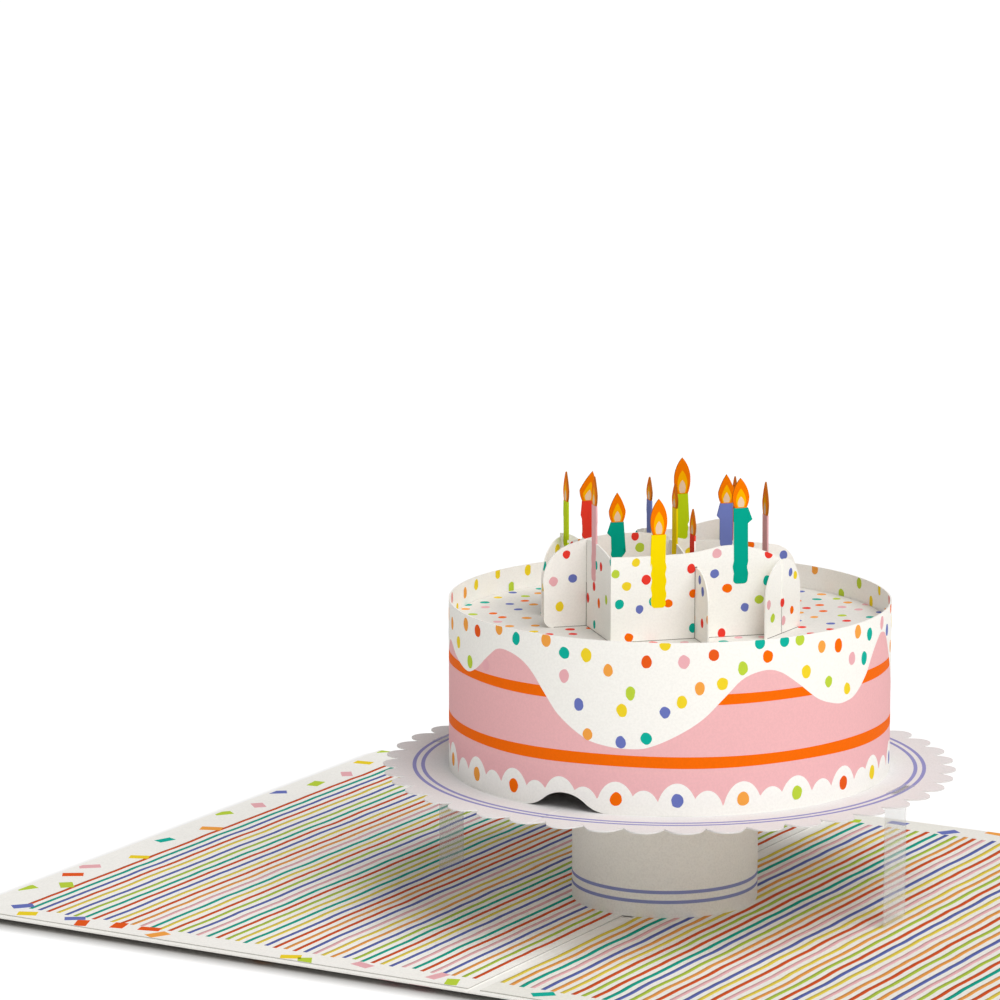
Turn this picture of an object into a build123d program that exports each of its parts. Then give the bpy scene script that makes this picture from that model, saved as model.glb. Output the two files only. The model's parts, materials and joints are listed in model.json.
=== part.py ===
"""Pop up greeting card, lying open with its paper birthday cake raised.

A cover sheet and two liners carry a round stem across the fold. The stem holds a scalloped
cake plate, and two clear film struts steady the plate's sides. On the plate stands a
drum with a lattice of crossing ribs under its top, and on the top a square tier of
interlocking walls, whose upper edges are cut out as candles. Every sheet is flat, folded or
rolled card, cut with slots, slits and glue tabs, so that the cake closes flat with the cover.

Millimetres. The origin is the middle of the card's underside. +X runs across the panels to
the right, +Y along the fold away from the reader, and +Z up through the cake.
"""

from build123d import *
from math import asin, cos, degrees, radians, sin
import os

os.makedirs("parts", exist_ok=True)

# Card
panel_width = 129.0
card_length = 177.8
cover_sheet = 0.35
liner_sheet = 0.30
liner_margin = 1.5
liner_fold_gap = 2.9
liner_shift = 1.0

# Sheets and their fits
wall_sheet = 0.30
plate_sheet = 0.30
disc_sheet = 0.30
film_sheet = 0.25
score_width = 0.8
score_depth = 0.12
slot_gap = 0.10
glue_gap = 0.03

# Glue tabs
tab_length = 6.0
flap_width = 3.0
film_tab_length = 9.0
film_flap_width = 2.2
film_foot_width = 4.0
seam_width = 7.0
rim_tab_height = 6.0
lap_bite = 0.05

# Stem
stem_diameter = 41.2
stem_height = 29.62
stem_shift = -0.9
stem_lap_height = 14.8
stem_seam_angle = 90.0

# Plate
plate_overhang = 14.64
scallop_depth = 3.9
scallop_crown = 1.95
scallop_crown_width = 6.7
scallop_count = 43

# Struts
strut_stand_off = 5.44
strut_width = 10.5
strut_offset = 3.0

# Drum
drum_diameter = 97.3
drum_height = 37.58
disc_drop = 5.4
arch_width = 20.35
arch_height = 3.75
arch_shift = 0.5
drum_seam_angle = 14.0
rib_spacing = 27.5
rib_lap_height = 16.0
rim_tab_span = 9.0

# Tier
tier_half = 19.0
tier_height = 19.0
tier_lap_height = 9.75
hook_reach = 0.8
front_divider_reach = 9.8
side_divider_reach = 9.35
divider_shoulder = 10.5
divider_corner = 2.0
cap_stand_off = 0.33
cap_half_width = 8.3
cap_height = 16.4
cap_shift = 0.9
cap_lap_height = 7.75
crease_width = 0.3
crease_depth = 0.08
corner_flap_height = 11.0

# Candles
front_candle_width = 3.2
middle_candle_width = 2.85
back_candle_width = 2.6
flame_width = 3.7
flame_foot = 2.5
flame_belly = 0.38
flame_cheek = 0.6
flame_cheek_rise = 0.7
drip_fall = 0.8

# Levels and radii that follow
cover_top = cover_sheet
liner_top = cover_top + liner_sheet
plate_bottom = liner_top + stem_height
plate_top = plate_bottom + plate_sheet
drum_rim = plate_top + drum_height
disc_top = drum_rim - disc_drop
disc_bottom = disc_top - disc_sheet
crest_level = disc_top + tier_height
stem_radius = stem_diameter / 2
stem_bore = stem_radius - wall_sheet
drum_radius = drum_diameter / 2
drum_bore = drum_radius - wall_sheet
disc_radius = drum_bore - slot_gap
plate_radius = drum_radius + plate_overhang
strut_place = drum_radius + strut_stand_off
cap_place = 2 ** 0.5 * tier_half + cap_stand_off
lap_slot = wall_sheet + 2 * slot_gap
stem_tab_angles = (45, 135, 225, 315)
drum_tab_angles = (0, 60, 120, 180, 240, 300)
rim_tab_angles = (0, 45, 135, 180, 225, 315)

# Directions of the lattice, which stands at 45 degrees to the fold
along_right = Vector(1, 1, 0).normalized()
along_front = Vector(1, -1, 0).normalized()


def right_plane(offset):
    """Upright plane of a sheet that faces the front right, offset towards it."""
    return Plane(origin=along_front * offset, x_dir=along_right, z_dir=along_front)


def left_plane(offset):
    """Upright plane of a sheet that faces the front left, offset away from it."""
    return Plane(origin=along_right * offset, x_dir=along_front, z_dir=-along_right)


def stem_plane(level):
    """Level plane centred on the stem, which stands a little to the left of the fold."""
    return Plane(origin=(stem_shift, 0, level))


def shifted(upright):
    """Upright plane moved from the middle of the card to the middle of the stem."""
    return Plane(
        origin=upright.origin + Vector(stem_shift, 0, 0),
        x_dir=upright.x_dir,
        z_dir=upright.z_dir,
    )


def cap_plane(side):
    """Upright plane of a cap sheet beside the tier, parallel to the fold."""
    return Plane(origin=(side * cap_place, 0, 0), x_dir=(0, 1, 0), z_dir=(1, 0, 0))


def plan_plane(upright, level):
    """Level plane whose x axis runs along an upright sheet."""
    return Plane(origin=upright.origin + Vector(0, 0, level), x_dir=upright.x_dir, z_dir=(0, 0, 1))


def ring_sector(outer, inner, middle, span):
    """Part of a flat ring, between two radii and spread evenly about an angle."""
    with BuildSketch() as sector:
        with BuildLine():
            rim = CenterArc((0, 0), outer, middle - span / 2, span)
            bore = CenterArc((0, 0), inner, middle - span / 2, span)
            Line(rim @ 0, bore @ 0)
            Line(rim @ 1, bore @ 1)
        make_face()
    return sector.sketch


def arc_span(length, radius):
    """Angle in degrees that a length takes up around a circle."""
    return degrees(length / radius)


def polar(radius, angle):
    """Point at a radius and an angle in degrees."""
    return (radius * cos(radians(angle)), radius * sin(radians(angle)))


def score_line(level):
    """Section of the shallow groove pressed into a sheet where it folds."""
    with BuildSketch() as groove:
        Polygon(
            (-score_width / 2, level),
            (0, level - score_depth),
            (score_width / 2, level),
            align=None,
        )
    return groove.sketch


def rib_outline(bore, offset):
    """Plan of a straight rib across a round wall, its ends turned along the wall to be glued."""
    seat = bore - glue_gap
    end_angle = degrees(asin(offset / seat))
    turn = arc_span(tab_length, seat) * (-1 if offset > 0 else 1)
    with BuildSketch() as outline:
        with Locations((0, offset)):
            Rectangle(2 * bore, wall_sheet)
        Circle(seat, mode=Mode.INTERSECT)
        add(ring_sector(seat, seat - wall_sheet, end_angle + turn / 2, abs(turn)))
        add(ring_sector(seat, seat - wall_sheet, 180 - end_angle - turn / 2, abs(turn)))
    return outline.sketch


def crest_points(half, wave):
    """Points of a wavy upper edge, from shares of the half width and rises above the crest."""
    return [(share * half, crest_level + rise) for share, rise in wave]


def arc_triples(points):
    """Threes of points, each three for one arc that starts where the last one ends."""
    return [points[first : first + 3] for first in range(0, len(points) - 2, 2)]


def wall_outline(start, end, wave):
    """Outline of a tier wall on the disc, with a wavy upper edge from start to end."""
    inner = crest_points(tier_half, wave[1:-1])
    points = [(start, crest_level + wave[0][1]), *inner, (end, crest_level + wave[-1][1])]
    with BuildSketch() as outline:
        with BuildLine():
            for triple in arc_triples(points):
                ThreePointArc(*triple)
            Polyline(points[-1], (end, disc_top), (start, disc_top), points[0])
        make_face()
    return outline.sketch


def divider_outline(reach, wave):
    """Outline of a dividing wall, which runs out past the tier to a rounded wing at each end."""
    half = tier_half + reach
    shoulder = crest_level - divider_shoulder
    toe = half - divider_corner
    toe_top = disc_top + divider_corner
    points = [(-half, shoulder), *crest_points(half, wave), (half, shoulder)]
    with BuildSketch() as outline:
        with BuildLine():
            for triple in arc_triples(points):
                ThreePointArc(*triple)
            Line((half, shoulder), (half, toe_top))
            RadiusArc((half, toe_top), (toe, disc_top), divider_corner)
            Line((toe, disc_top), (-toe, disc_top))
            RadiusArc((-toe, disc_top), (-half, toe_top), divider_corner)
            Line((-half, toe_top), (-half, shoulder))
        make_face()
    return outline.sketch


def candle(share, wick, flame, drips=(), lean=0.0, width=front_candle_width):
    """Candle with its flame, standing up out of a tier wall.

    share is its place along the wall, as a share of the half width. wick is the height of its
    top above the crest, and flame that of the flame. Each drip is a side, a drop and a reach.
    lean moves the flame's tip along the wall, and width is that of the candle.
    """
    place = share * tier_half
    top = crest_level + wick
    half = width / 2
    belly = top + flame_belly * flame
    cheek = top + flame_cheek_rise * flame
    tip = (place + lean, top + flame)
    with BuildSketch() as outline:
        with Locations((place, top)):
            Rectangle(width, wick + tier_height / 2, align=(Align.CENTER, Align.MAX))
        for side, drop, reach in drips:
            Polygon(
                (place, top),
                (place + side * half, top),
                (place + side * (half + reach), top - drop),
                (place + side * half, top - drop - drip_fall),
                (place, top - drop - drip_fall),
                align=None,
            )
        with BuildLine():
            Line((place - flame_foot / 2, top), (place + flame_foot / 2, top))
            for side in (-1, 1):
                foot = (place + side * flame_foot / 2, top)
                widest = (place + side * flame_width / 2, belly)
                upper_side = (place + side * flame_cheek * flame_width / 2 + lean / 2, cheek)
                TangentArc(widest, foot, tangent=(0, -1))
                ThreePointArc(widest, upper_side, tip)
        make_face()
    return outline.sketch


def foot_tabs(places):
    """Tabs under a tier wall that pass through the disc, seen square on."""
    with BuildSketch() as tabs:
        for place in places:
            with Locations((place, disc_top)):
                Rectangle(
                    tab_length,
                    disc_sheet + wall_sheet,
                    align=(Align.CENTER, Align.MAX),
                )
    return tabs.sketch


def foot_flaps(places):
    """Ends of those tabs, folded flat against the underside of the disc, seen from above."""
    with BuildSketch() as flaps:
        for place in places:
            with Locations((place, wall_sheet / 2)):
                Rectangle(
                    tab_length,
                    flap_width + wall_sheet,
                    align=(Align.CENTER, Align.MAX),
                )
    return flaps.sketch


def slot(place, low, high, width=lap_slot):
    """Slot across a sheet's outline between two levels."""
    with BuildSketch() as opening:
        with Locations((place, (low + high) / 2)):
            Rectangle(width, high - low)
    return opening.sketch


wall_feet = (-tier_half / 2, tier_half / 2)
cap_feet = {1: (cap_shift,), -1: (-cap_shift,)}
tier_lap = disc_top + tier_lap_height
cap_lap = disc_top + cap_lap_height
above_all = crest_level + tier_height
below_all = disc_bottom - 2 * flap_width


# Cover, one sheet for both panels, scored along the fold
with BuildPart() as card_cover:
    with BuildSketch():
        Rectangle(2 * panel_width, card_length)
    extrude(amount=cover_sheet)
    with BuildSketch(Plane.XZ):
        add(score_line(cover_top))
    extrude(amount=card_length / 2, both=True, mode=Mode.SUBTRACT)

card_cover.part.label = "card_cover"
export_step(card_cover.part, "parts/card_cover.step")


# Liners, one printed sheet glued inside each panel
liner_edges = {
    "liner_left": (liner_margin - panel_width, liner_shift - liner_fold_gap / 2),
    "liner_right": (liner_shift + liner_fold_gap / 2, panel_width - liner_margin),
}
for name, (left_edge, right_edge) in liner_edges.items():
    with BuildPart() as liner:
        with BuildSketch(Plane.XY.offset(cover_top)):
            with Locations(((left_edge + right_edge) / 2, 0)):
                Rectangle(right_edge - left_edge, card_length - 2 * liner_margin)
        extrude(amount=liner_sheet)

    liner.part.label = name
    export_step(liner.part, f"parts/{name}.step")


# Stem, a band of card rolled into a ring, glued to both liners and through the plate
stem_seam_span = arc_span(seam_width, stem_bore)
stem_tab_span = arc_span(tab_length, stem_radius)
with BuildPart() as stem_wall:
    with BuildSketch(stem_plane(liner_top)):
        Circle(stem_radius)
        Circle(stem_bore, mode=Mode.SUBTRACT)
        add(ring_sector(stem_bore, stem_bore - wall_sheet, stem_seam_angle, stem_seam_span))
    extrude(amount=stem_height)
    with BuildSketch(stem_plane(liner_top)):
        for side_angle in (0, 180):
            add(ring_sector(stem_bore, stem_bore - flap_width, side_angle, 2 * stem_tab_span))
    extrude(amount=wall_sheet)
    with BuildSketch(stem_plane(plate_bottom)):
        for tab_angle in stem_tab_angles:
            add(ring_sector(stem_radius, stem_bore, tab_angle, stem_tab_span))
    extrude(amount=plate_sheet)
    with BuildSketch(stem_plane(plate_top)):
        for tab_angle in stem_tab_angles:
            add(ring_sector(stem_radius + flap_width, stem_bore, tab_angle, stem_tab_span))
    extrude(amount=wall_sheet)

stem_wall.part.label = "stem_wall"
export_step(stem_wall.part, "parts/stem_wall.step")


# Stem ribs, two crossing sheets that keep the stem round
stem_lap = liner_top + stem_lap_height
stem_foot_place = stem_bore / 2
stem_ribs = {
    "stem_rib_1": (shifted(right_plane(0)), stem_lap, plate_bottom),
    "stem_rib_2": (shifted(left_plane(0)), liner_top, stem_lap),
}
for name, (upright, slot_low, slot_high) in stem_ribs.items():
    with BuildPart() as stem_rib:
        with BuildSketch(plan_plane(upright, liner_top)):
            add(rib_outline(stem_bore, 0))
        extrude(amount=stem_height)
        with BuildSketch(plan_plane(upright, liner_top)):
            with Locations((-stem_foot_place, 0), (stem_foot_place, 0)):
                Rectangle(tab_length, flap_width, align=(Align.CENTER, Align.MIN))
        extrude(amount=wall_sheet)
        with BuildSketch(plan_plane(upright, slot_low)):
            Rectangle(lap_slot, flap_width)
        extrude(amount=slot_high - slot_low, mode=Mode.SUBTRACT)

    stem_rib.part.label = name
    export_step(stem_rib.part, f"parts/{name}.step")


# Plate, a scalloped disc scored along the fold, with slits for every tab that passes it
drum_tab_span = arc_span(tab_length, drum_radius)
slit_growth = arc_span(2 * slot_gap, stem_radius)
scallop_step = 360 / scallop_count
crown_step = arc_span(scallop_crown_width / 2, plate_radius - scallop_crown)
with BuildPart() as plate:
    with BuildSketch(Plane.XY.offset(plate_bottom)):
        with BuildLine():
            for number in range(scallop_count):
                middle = number * scallop_step
                valley = polar(plate_radius - scallop_depth, middle - scallop_step / 2)
                next_valley = polar(plate_radius - scallop_depth, middle + scallop_step / 2)
                shoulder = polar(plate_radius - scallop_crown, middle - crown_step)
                next_shoulder = polar(plate_radius - scallop_crown, middle + crown_step)
                Line(valley, shoulder)
                ThreePointArc(shoulder, polar(plate_radius, middle), next_shoulder)
                Line(next_shoulder, next_valley)
        make_face()
        with Locations((stem_shift, 0)):
            for tab_angle in stem_tab_angles:
                add(
                    ring_sector(
                        stem_radius + slot_gap,
                        stem_bore - slot_gap,
                        tab_angle,
                        stem_tab_span + slit_growth,
                    ),
                    mode=Mode.SUBTRACT,
                )
        for tab_angle in drum_tab_angles:
            add(
                ring_sector(
                    drum_radius + slot_gap,
                    drum_bore - slot_gap,
                    tab_angle,
                    drum_tab_span + slit_growth,
                ),
                mode=Mode.SUBTRACT,
            )
        with Locations((strut_place, strut_offset), (-strut_place, -strut_offset)):
            Rectangle(
                film_sheet + 2 * slot_gap,
                film_tab_length + 2 * slot_gap,
                mode=Mode.SUBTRACT,
            )
    extrude(amount=plate_sheet)
    with BuildSketch(Plane.XZ):
        add(score_line(plate_top))
    extrude(amount=plate_radius, both=True, mode=Mode.SUBTRACT)

plate.part.label = "plate"
export_step(plate.part, "parts/plate.step")


# Struts, clear film strips that carry the plate's sides, tabbed through it and glued down
for name, side in (("plate_strut_right", 1), ("plate_strut_left", -1)):
    inner_face = side * (strut_place - film_sheet / 2)
    outer_face = side * (strut_place + film_sheet / 2)
    with BuildPart() as strut:
        with BuildSketch(Plane.XY.offset(liner_top)):
            with Locations((side * strut_place, side * strut_offset)):
                Rectangle(film_sheet, strut_width)
        extrude(amount=stem_height)
        with BuildSketch(Plane.XY.offset(liner_top)):
            with Locations((inner_face - side * film_foot_width / 2, side * strut_offset)):
                Rectangle(film_foot_width, strut_width)
        extrude(amount=film_sheet)
        with BuildSketch(Plane.XY.offset(plate_bottom)):
            with Locations((side * strut_place, side * strut_offset)):
                Rectangle(film_sheet, film_tab_length)
        extrude(amount=plate_sheet + film_sheet)
        with BuildSketch(Plane.XY.offset(plate_top)):
            with Locations((outer_face + side * film_flap_width / 2, side * strut_offset)):
                Rectangle(film_flap_width, film_tab_length)
        extrude(amount=film_sheet)

    strut.part.label = name
    export_step(strut.part, f"parts/{name}.step")


# Drum wall, the side of the cake, arched over the fold and tabbed through the plate
drum_seam_span = arc_span(seam_width, drum_bore)
with BuildPart() as drum_wall:
    with BuildSketch(Plane.XY.offset(plate_top)):
        Circle(drum_radius)
        Circle(drum_bore, mode=Mode.SUBTRACT)
    extrude(amount=drum_height)
    with BuildSketch(Plane.XY.offset(plate_top)):
        add(ring_sector(drum_bore, drum_bore - wall_sheet, drum_seam_angle, drum_seam_span))
    extrude(amount=disc_bottom - rim_tab_height - plate_top)
    with BuildSketch(Plane.XZ):
        with BuildLine():
            left_foot = TangentArc(
                (arch_shift - arch_width / 2, plate_top),
                (arch_shift - arch_width / 4, plate_top + arch_height / 2),
                tangent=(1, 0),
            )
            right_foot = TangentArc(
                (arch_shift + arch_width / 2, plate_top),
                (arch_shift + arch_width / 4, plate_top + arch_height / 2),
                tangent=(-1, 0),
            )
            ThreePointArc(left_foot @ 1, (arch_shift, plate_top + arch_height), right_foot @ 1)
            Line(left_foot @ 0, right_foot @ 0)
        make_face()
    extrude(amount=drum_radius, both=True, mode=Mode.SUBTRACT)
    with BuildSketch(Plane.XY.offset(plate_bottom)):
        for tab_angle in drum_tab_angles:
            add(ring_sector(drum_radius, drum_bore, tab_angle, drum_tab_span))
    extrude(amount=plate_sheet)
    with BuildSketch(Plane.XY.offset(plate_bottom - wall_sheet)):
        for tab_angle in drum_tab_angles:
            add(ring_sector(drum_radius, drum_bore - flap_width, tab_angle, drum_tab_span))
    extrude(amount=wall_sheet)

drum_wall.part.label = "drum_wall"
export_step(drum_wall.part, "parts/drum_wall.step")


# Drum ribs, two pairs of sheets that cross in half laps and carry the disc
rib_height = disc_bottom - plate_top
rib_lap = plate_top + rib_lap_height
rib_half_spacing = rib_spacing / 2
rib_foot_place = (rib_half_spacing + drum_bore) / 2
drum_ribs = {
    "drum_rib_1": (right_plane(0), -rib_half_spacing, rib_lap, disc_bottom),
    "drum_rib_2": (right_plane(0), rib_half_spacing, rib_lap, disc_bottom),
    "drum_rib_3": (left_plane(0), -rib_half_spacing, plate_top, rib_lap),
    "drum_rib_4": (left_plane(0), rib_half_spacing, plate_top, rib_lap),
}
for name, (upright, offset_out, slot_low, slot_high) in drum_ribs.items():
    with BuildPart() as drum_rib:
        with BuildSketch(plan_plane(upright, plate_top)):
            add(rib_outline(drum_bore, offset_out))
        extrude(amount=rib_height)
        with BuildSketch(plan_plane(upright, plate_top)):
            with Locations((-rib_foot_place, offset_out), (rib_foot_place, offset_out)):
                Rectangle(tab_length, flap_width, align=(Align.CENTER, Align.MIN))
        extrude(amount=wall_sheet)
        with BuildSketch(plan_plane(upright, slot_low)):
            with Locations((-rib_half_spacing, offset_out), (rib_half_spacing, offset_out)):
                Rectangle(lap_slot, flap_width)
        extrude(amount=slot_high - slot_low, mode=Mode.SUBTRACT)

    drum_rib.part.label = name
    export_step(drum_rib.part, f"parts/{name}.step")


# Disc, the cake's top, scored along the fold, slit for the tier and glued to the wall by tabs
tier_lines = [
    (right_plane(tier_half), wall_feet),
    (right_plane(0), wall_feet),
    (right_plane(-tier_half), wall_feet),
    (left_plane(tier_half), wall_feet),
    (left_plane(0), wall_feet),
    (left_plane(-tier_half), wall_feet),
    (cap_plane(1), cap_feet[1]),
    (cap_plane(-1), cap_feet[-1]),
]
with BuildPart() as drum_top:
    with BuildSketch(Plane.XY.offset(disc_bottom)):
        Circle(disc_radius)
    extrude(amount=disc_sheet)
    with BuildSketch(Plane.XY.offset(disc_bottom - rim_tab_height)):
        for tab_angle in rim_tab_angles:
            add(ring_sector(disc_radius, disc_radius - disc_sheet, tab_angle, rim_tab_span))
    extrude(amount=rim_tab_height)
    for upright, places in tier_lines:
        with BuildSketch(plan_plane(upright, disc_bottom)):
            with Locations(*[(place, 0) for place in places]):
                Rectangle(tab_length + 2 * slot_gap, lap_slot)
        extrude(amount=disc_sheet, mode=Mode.SUBTRACT)
    with BuildSketch(Plane.XZ):
        add(score_line(disc_top))
    extrude(amount=disc_radius, both=True, mode=Mode.SUBTRACT)

drum_top.part.label = "drum_top"
export_step(drum_top.part, "parts/drum_top.step")


# Waves of the upper edges, each point a share of the sheet's half width and a rise
front_right_wave = [
    (-1.0, -0.2),
    (-0.54, -0.35),
    (-0.25, -0.25),
    (0.0, 0.05),
    (0.23, 0.85),
    (0.44, 1.15),
    (0.67, 0.4),
    (0.83, -0.55),
    (1.0, -2.75),
]
front_left_wave = [(-1.0, -5.85), (-0.58, -2.15), (-0.17, -0.25), (0.26, 0.6), (1.0, -0.85)]
back_left_wave = [
    (-1.0, -1.75),
    (-0.94, -2.1),
    (-0.8, -3.6),
    (-0.1, -2.6),
    (0.51, -1.95),
    (0.75, -0.8),
    (1.0, -0.3),
]
back_right_wave = [(-1.0, -0.4), (-0.6, -1.5), (-0.1, -4.1), (0.5, -4.3), (1.0, -3.4)]
front_divider_wave = [
    (-0.955, -3.95),
    (-0.833, -1.05),
    (-0.608, 0.75),
    (-0.361, 1.25),
    (-0.163, 0.95),
    (0.035, -0.25),
    (0.156, -1.0),
    (0.295, -1.25),
    (0.556, -1.85),
    (0.802, -2.85),
    (0.944, -4.55),
]
side_divider_wave = [
    (-0.966, -4.95),
    (-0.818, -2.65),
    (-0.628, -1.45),
    (-0.353, -1.15),
    (-0.141, -1.0),
    (0.071, -0.55),
    (0.229, -1.0),
    (0.363, -1.85),
    (0.511, -2.95),
    (0.674, -3.45),
    (0.751, -3.35),
    (0.854, -4.05),
    (0.963, -6.55),
]


# Front wall of the tier, two sides folded at the front corner, with four candles
corner = tier_half + wall_sheet / 2
hook_end = tier_half + hook_reach
below_cap_end = tier_half - lap_bite
flap_start = tier_half - wall_sheet / 2 - glue_gap
with BuildPart() as tier_wall_front:
    with BuildSketch(right_plane(tier_half)):
        add(wall_outline(-corner, hook_end, front_right_wave))
        add(candle(-0.443, 4.25, 7.8, drips=[(-1, 6.5, 0.25)]))
        add(candle(0.53, 9.25, 6.5, drips=[(1, 2.6, 1.0)], lean=-0.1))
        add(foot_tabs(wall_feet))
        add(slot(0, below_all, tier_lap), mode=Mode.SUBTRACT)
        add(
            slot(below_cap_end + tier_half / 2, below_all, cap_lap, tier_half),
            mode=Mode.SUBTRACT,
        )
    extrude(amount=wall_sheet / 2, both=True)
    with BuildSketch(left_plane(-tier_half)):
        add(wall_outline(-flap_start, corner, front_left_wave))
        add(candle(-0.885, 5.75, 6.6, drips=[(-1, 3.0, 0.2)]))
        add(candle(0.305, 8.85, 6.3, drips=[(1, 3.4, 0.2)]))
        add(foot_tabs(wall_feet))
        add(slot(0, tier_lap, above_all), mode=Mode.SUBTRACT)
    extrude(amount=wall_sheet / 2, both=True)
    with BuildSketch(right_plane(-flap_start)):
        with Locations((flap_width / 2 - corner, disc_top + corner_flap_height / 2)):
            Rectangle(flap_width, corner_flap_height)
    extrude(amount=wall_sheet)
    for upright in (right_plane(tier_half), left_plane(-tier_half)):
        with BuildSketch(plan_plane(upright, disc_bottom - wall_sheet)):
            add(foot_flaps(wall_feet))
        extrude(amount=wall_sheet)

tier_wall_front.part.label = "tier_wall_front"
export_step(tier_wall_front.part, "parts/tier_wall_front.step")


# Back wall of the tier, the same pair of sides turned half round, with four candles
with BuildPart() as tier_wall_back:
    with BuildSketch(right_plane(-tier_half)):
        add(wall_outline(-hook_end, corner, back_left_wave))
        add(candle(-0.705, 5.15, 6.6, [(-1, 3.2, 0.3)], 1.1, back_candle_width))
        add(candle(0.447, 5.75, 8.1, [(1, 6.2, 0.35)], width=back_candle_width))
        add(foot_tabs(wall_feet))
        add(slot(0, below_all, tier_lap), mode=Mode.SUBTRACT)
        add(
            slot(-below_cap_end - tier_half / 2, below_all, cap_lap, tier_half),
            mode=Mode.SUBTRACT,
        )
    extrude(amount=wall_sheet / 2, both=True)
    with BuildSketch(left_plane(tier_half)):
        add(wall_outline(-corner, flap_start, back_right_wave))
        add(candle(-0.69, 3.2, 6.95, drips=[(-1, 2.6, 0.3)]))
        add(candle(0.47, 5.45, 7.3))
        add(foot_tabs(wall_feet))
        add(slot(0, tier_lap, above_all), mode=Mode.SUBTRACT)
    extrude(amount=wall_sheet / 2, both=True)
    with BuildSketch(right_plane(flap_start)):
        with Locations((corner - flap_width / 2, disc_top + corner_flap_height / 2)):
            Rectangle(flap_width, corner_flap_height)
    extrude(amount=-wall_sheet)
    for upright in (right_plane(-tier_half), left_plane(tier_half)):
        with BuildSketch(plan_plane(upright, disc_bottom - wall_sheet)):
            add(foot_flaps(wall_feet))
        extrude(amount=wall_sheet)

tier_wall_back.part.label = "tier_wall_back"
export_step(tier_wall_back.part, "parts/tier_wall_back.step")


# Dividers, two winged sheets that cross inside the tier and pass out through its walls
with BuildPart() as tier_divider_front:
    with BuildSketch(right_plane(0)):
        add(divider_outline(front_divider_reach, front_divider_wave))
        add(candle(-0.64, 3.75, 6.5, [(-1, 2.4, 0.8), (1, 6.6, 0.5)], width=middle_candle_width))
        add(candle(0.675, 6.75, 6.4, [(-1, 2.7, 0.7)], width=middle_candle_width))
        add(foot_tabs(wall_feet))
        for place in (-tier_half, 0, tier_half):
            add(slot(place, below_all, tier_lap), mode=Mode.SUBTRACT)
    extrude(amount=wall_sheet / 2, both=True)
    with BuildSketch(plan_plane(right_plane(0), disc_bottom - wall_sheet)):
        add(foot_flaps(wall_feet))
    extrude(amount=wall_sheet)

tier_divider_front.part.label = "tier_divider_front"
export_step(tier_divider_front.part, "parts/tier_divider_front.step")

with BuildPart() as tier_divider_side:
    with BuildSketch(left_plane(0)):
        add(divider_outline(side_divider_reach, side_divider_wave))
        add(candle(-0.84, 5.25, 5.2, drips=[(-1, 2.5, 0.2)]))
        add(candle(0.18, 6.95, 5.3))
        add(candle(0.88, 3.45, 5.6, drips=[(-1, 3.0, 0.15)]))
        add(foot_tabs(wall_feet))
        for place in (-tier_half, 0, tier_half):
            add(slot(place, tier_lap, above_all), mode=Mode.SUBTRACT)
    extrude(amount=wall_sheet / 2, both=True)
    with BuildSketch(plan_plane(left_plane(0), disc_bottom - wall_sheet)):
        add(foot_flaps(wall_feet))
    extrude(amount=wall_sheet)

tier_divider_side.part.label = "tier_divider_side"
export_step(tier_divider_side.part, "parts/tier_divider_side.step")


# Caps, one rounded sheet beyond each side corner, hooked on the end of a wall
cap_slot = (2 ** 0.5 + 1) * wall_sheet + 2 * slot_gap
cap_arch = disc_top + cap_height - cap_half_width
for name, side in (("tier_cap_right", 1), ("tier_cap_left", -1)):
    with BuildPart() as tier_cap:
        with BuildSketch(cap_plane(side)):
            with Locations((side * cap_shift, disc_top)):
                Rectangle(
                    2 * cap_half_width,
                    cap_height - cap_half_width,
                    align=(Align.CENTER, Align.MIN),
                )
            with Locations((side * cap_shift, cap_arch)):
                Circle(cap_half_width)
            add(foot_tabs(cap_feet[side]))
            add(
                slot(side * cap_stand_off, cap_lap, above_all, cap_slot),
                mode=Mode.SUBTRACT,
            )
        extrude(amount=wall_sheet / 2, both=True)
        with BuildSketch(Plane.XY.offset(disc_top)):
            for face in (-1, 1):
                with Locations((side * cap_place + face * wall_sheet / 2, side * cap_stand_off)):
                    Rectangle(2 * crease_depth, crease_width)
        extrude(amount=cap_lap_height, mode=Mode.SUBTRACT)
        with BuildSketch(plan_plane(cap_plane(side), disc_bottom - wall_sheet)):
            add(foot_flaps(cap_feet[side]))
        extrude(amount=wall_sheet)

    tier_cap.part.label = name
    export_step(tier_cap.part, f"parts/{name}.step")
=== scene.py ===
"""Looks of an open pop up birthday card: papers, print, clear film, studio and camera.

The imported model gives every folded, rolled and slotted sheet at its real size. This script
gives each sheet its paper, lays the print on it as thin coats of ink that follow the sheet,
and lights it as a small product on a pale table. Sizes in millimetres become metres through
MM, in the card's own frame: +X across the panels, +Y along the fold, +Z up.
"""

from __future__ import annotations

import json
import logging
import math
import random
from dataclasses import dataclass
from enum import Enum
from typing import Any, Callable, Sequence

import bmesh
import bpy
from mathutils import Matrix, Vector
from mathutils.bvhtree import BVHTree

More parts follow.
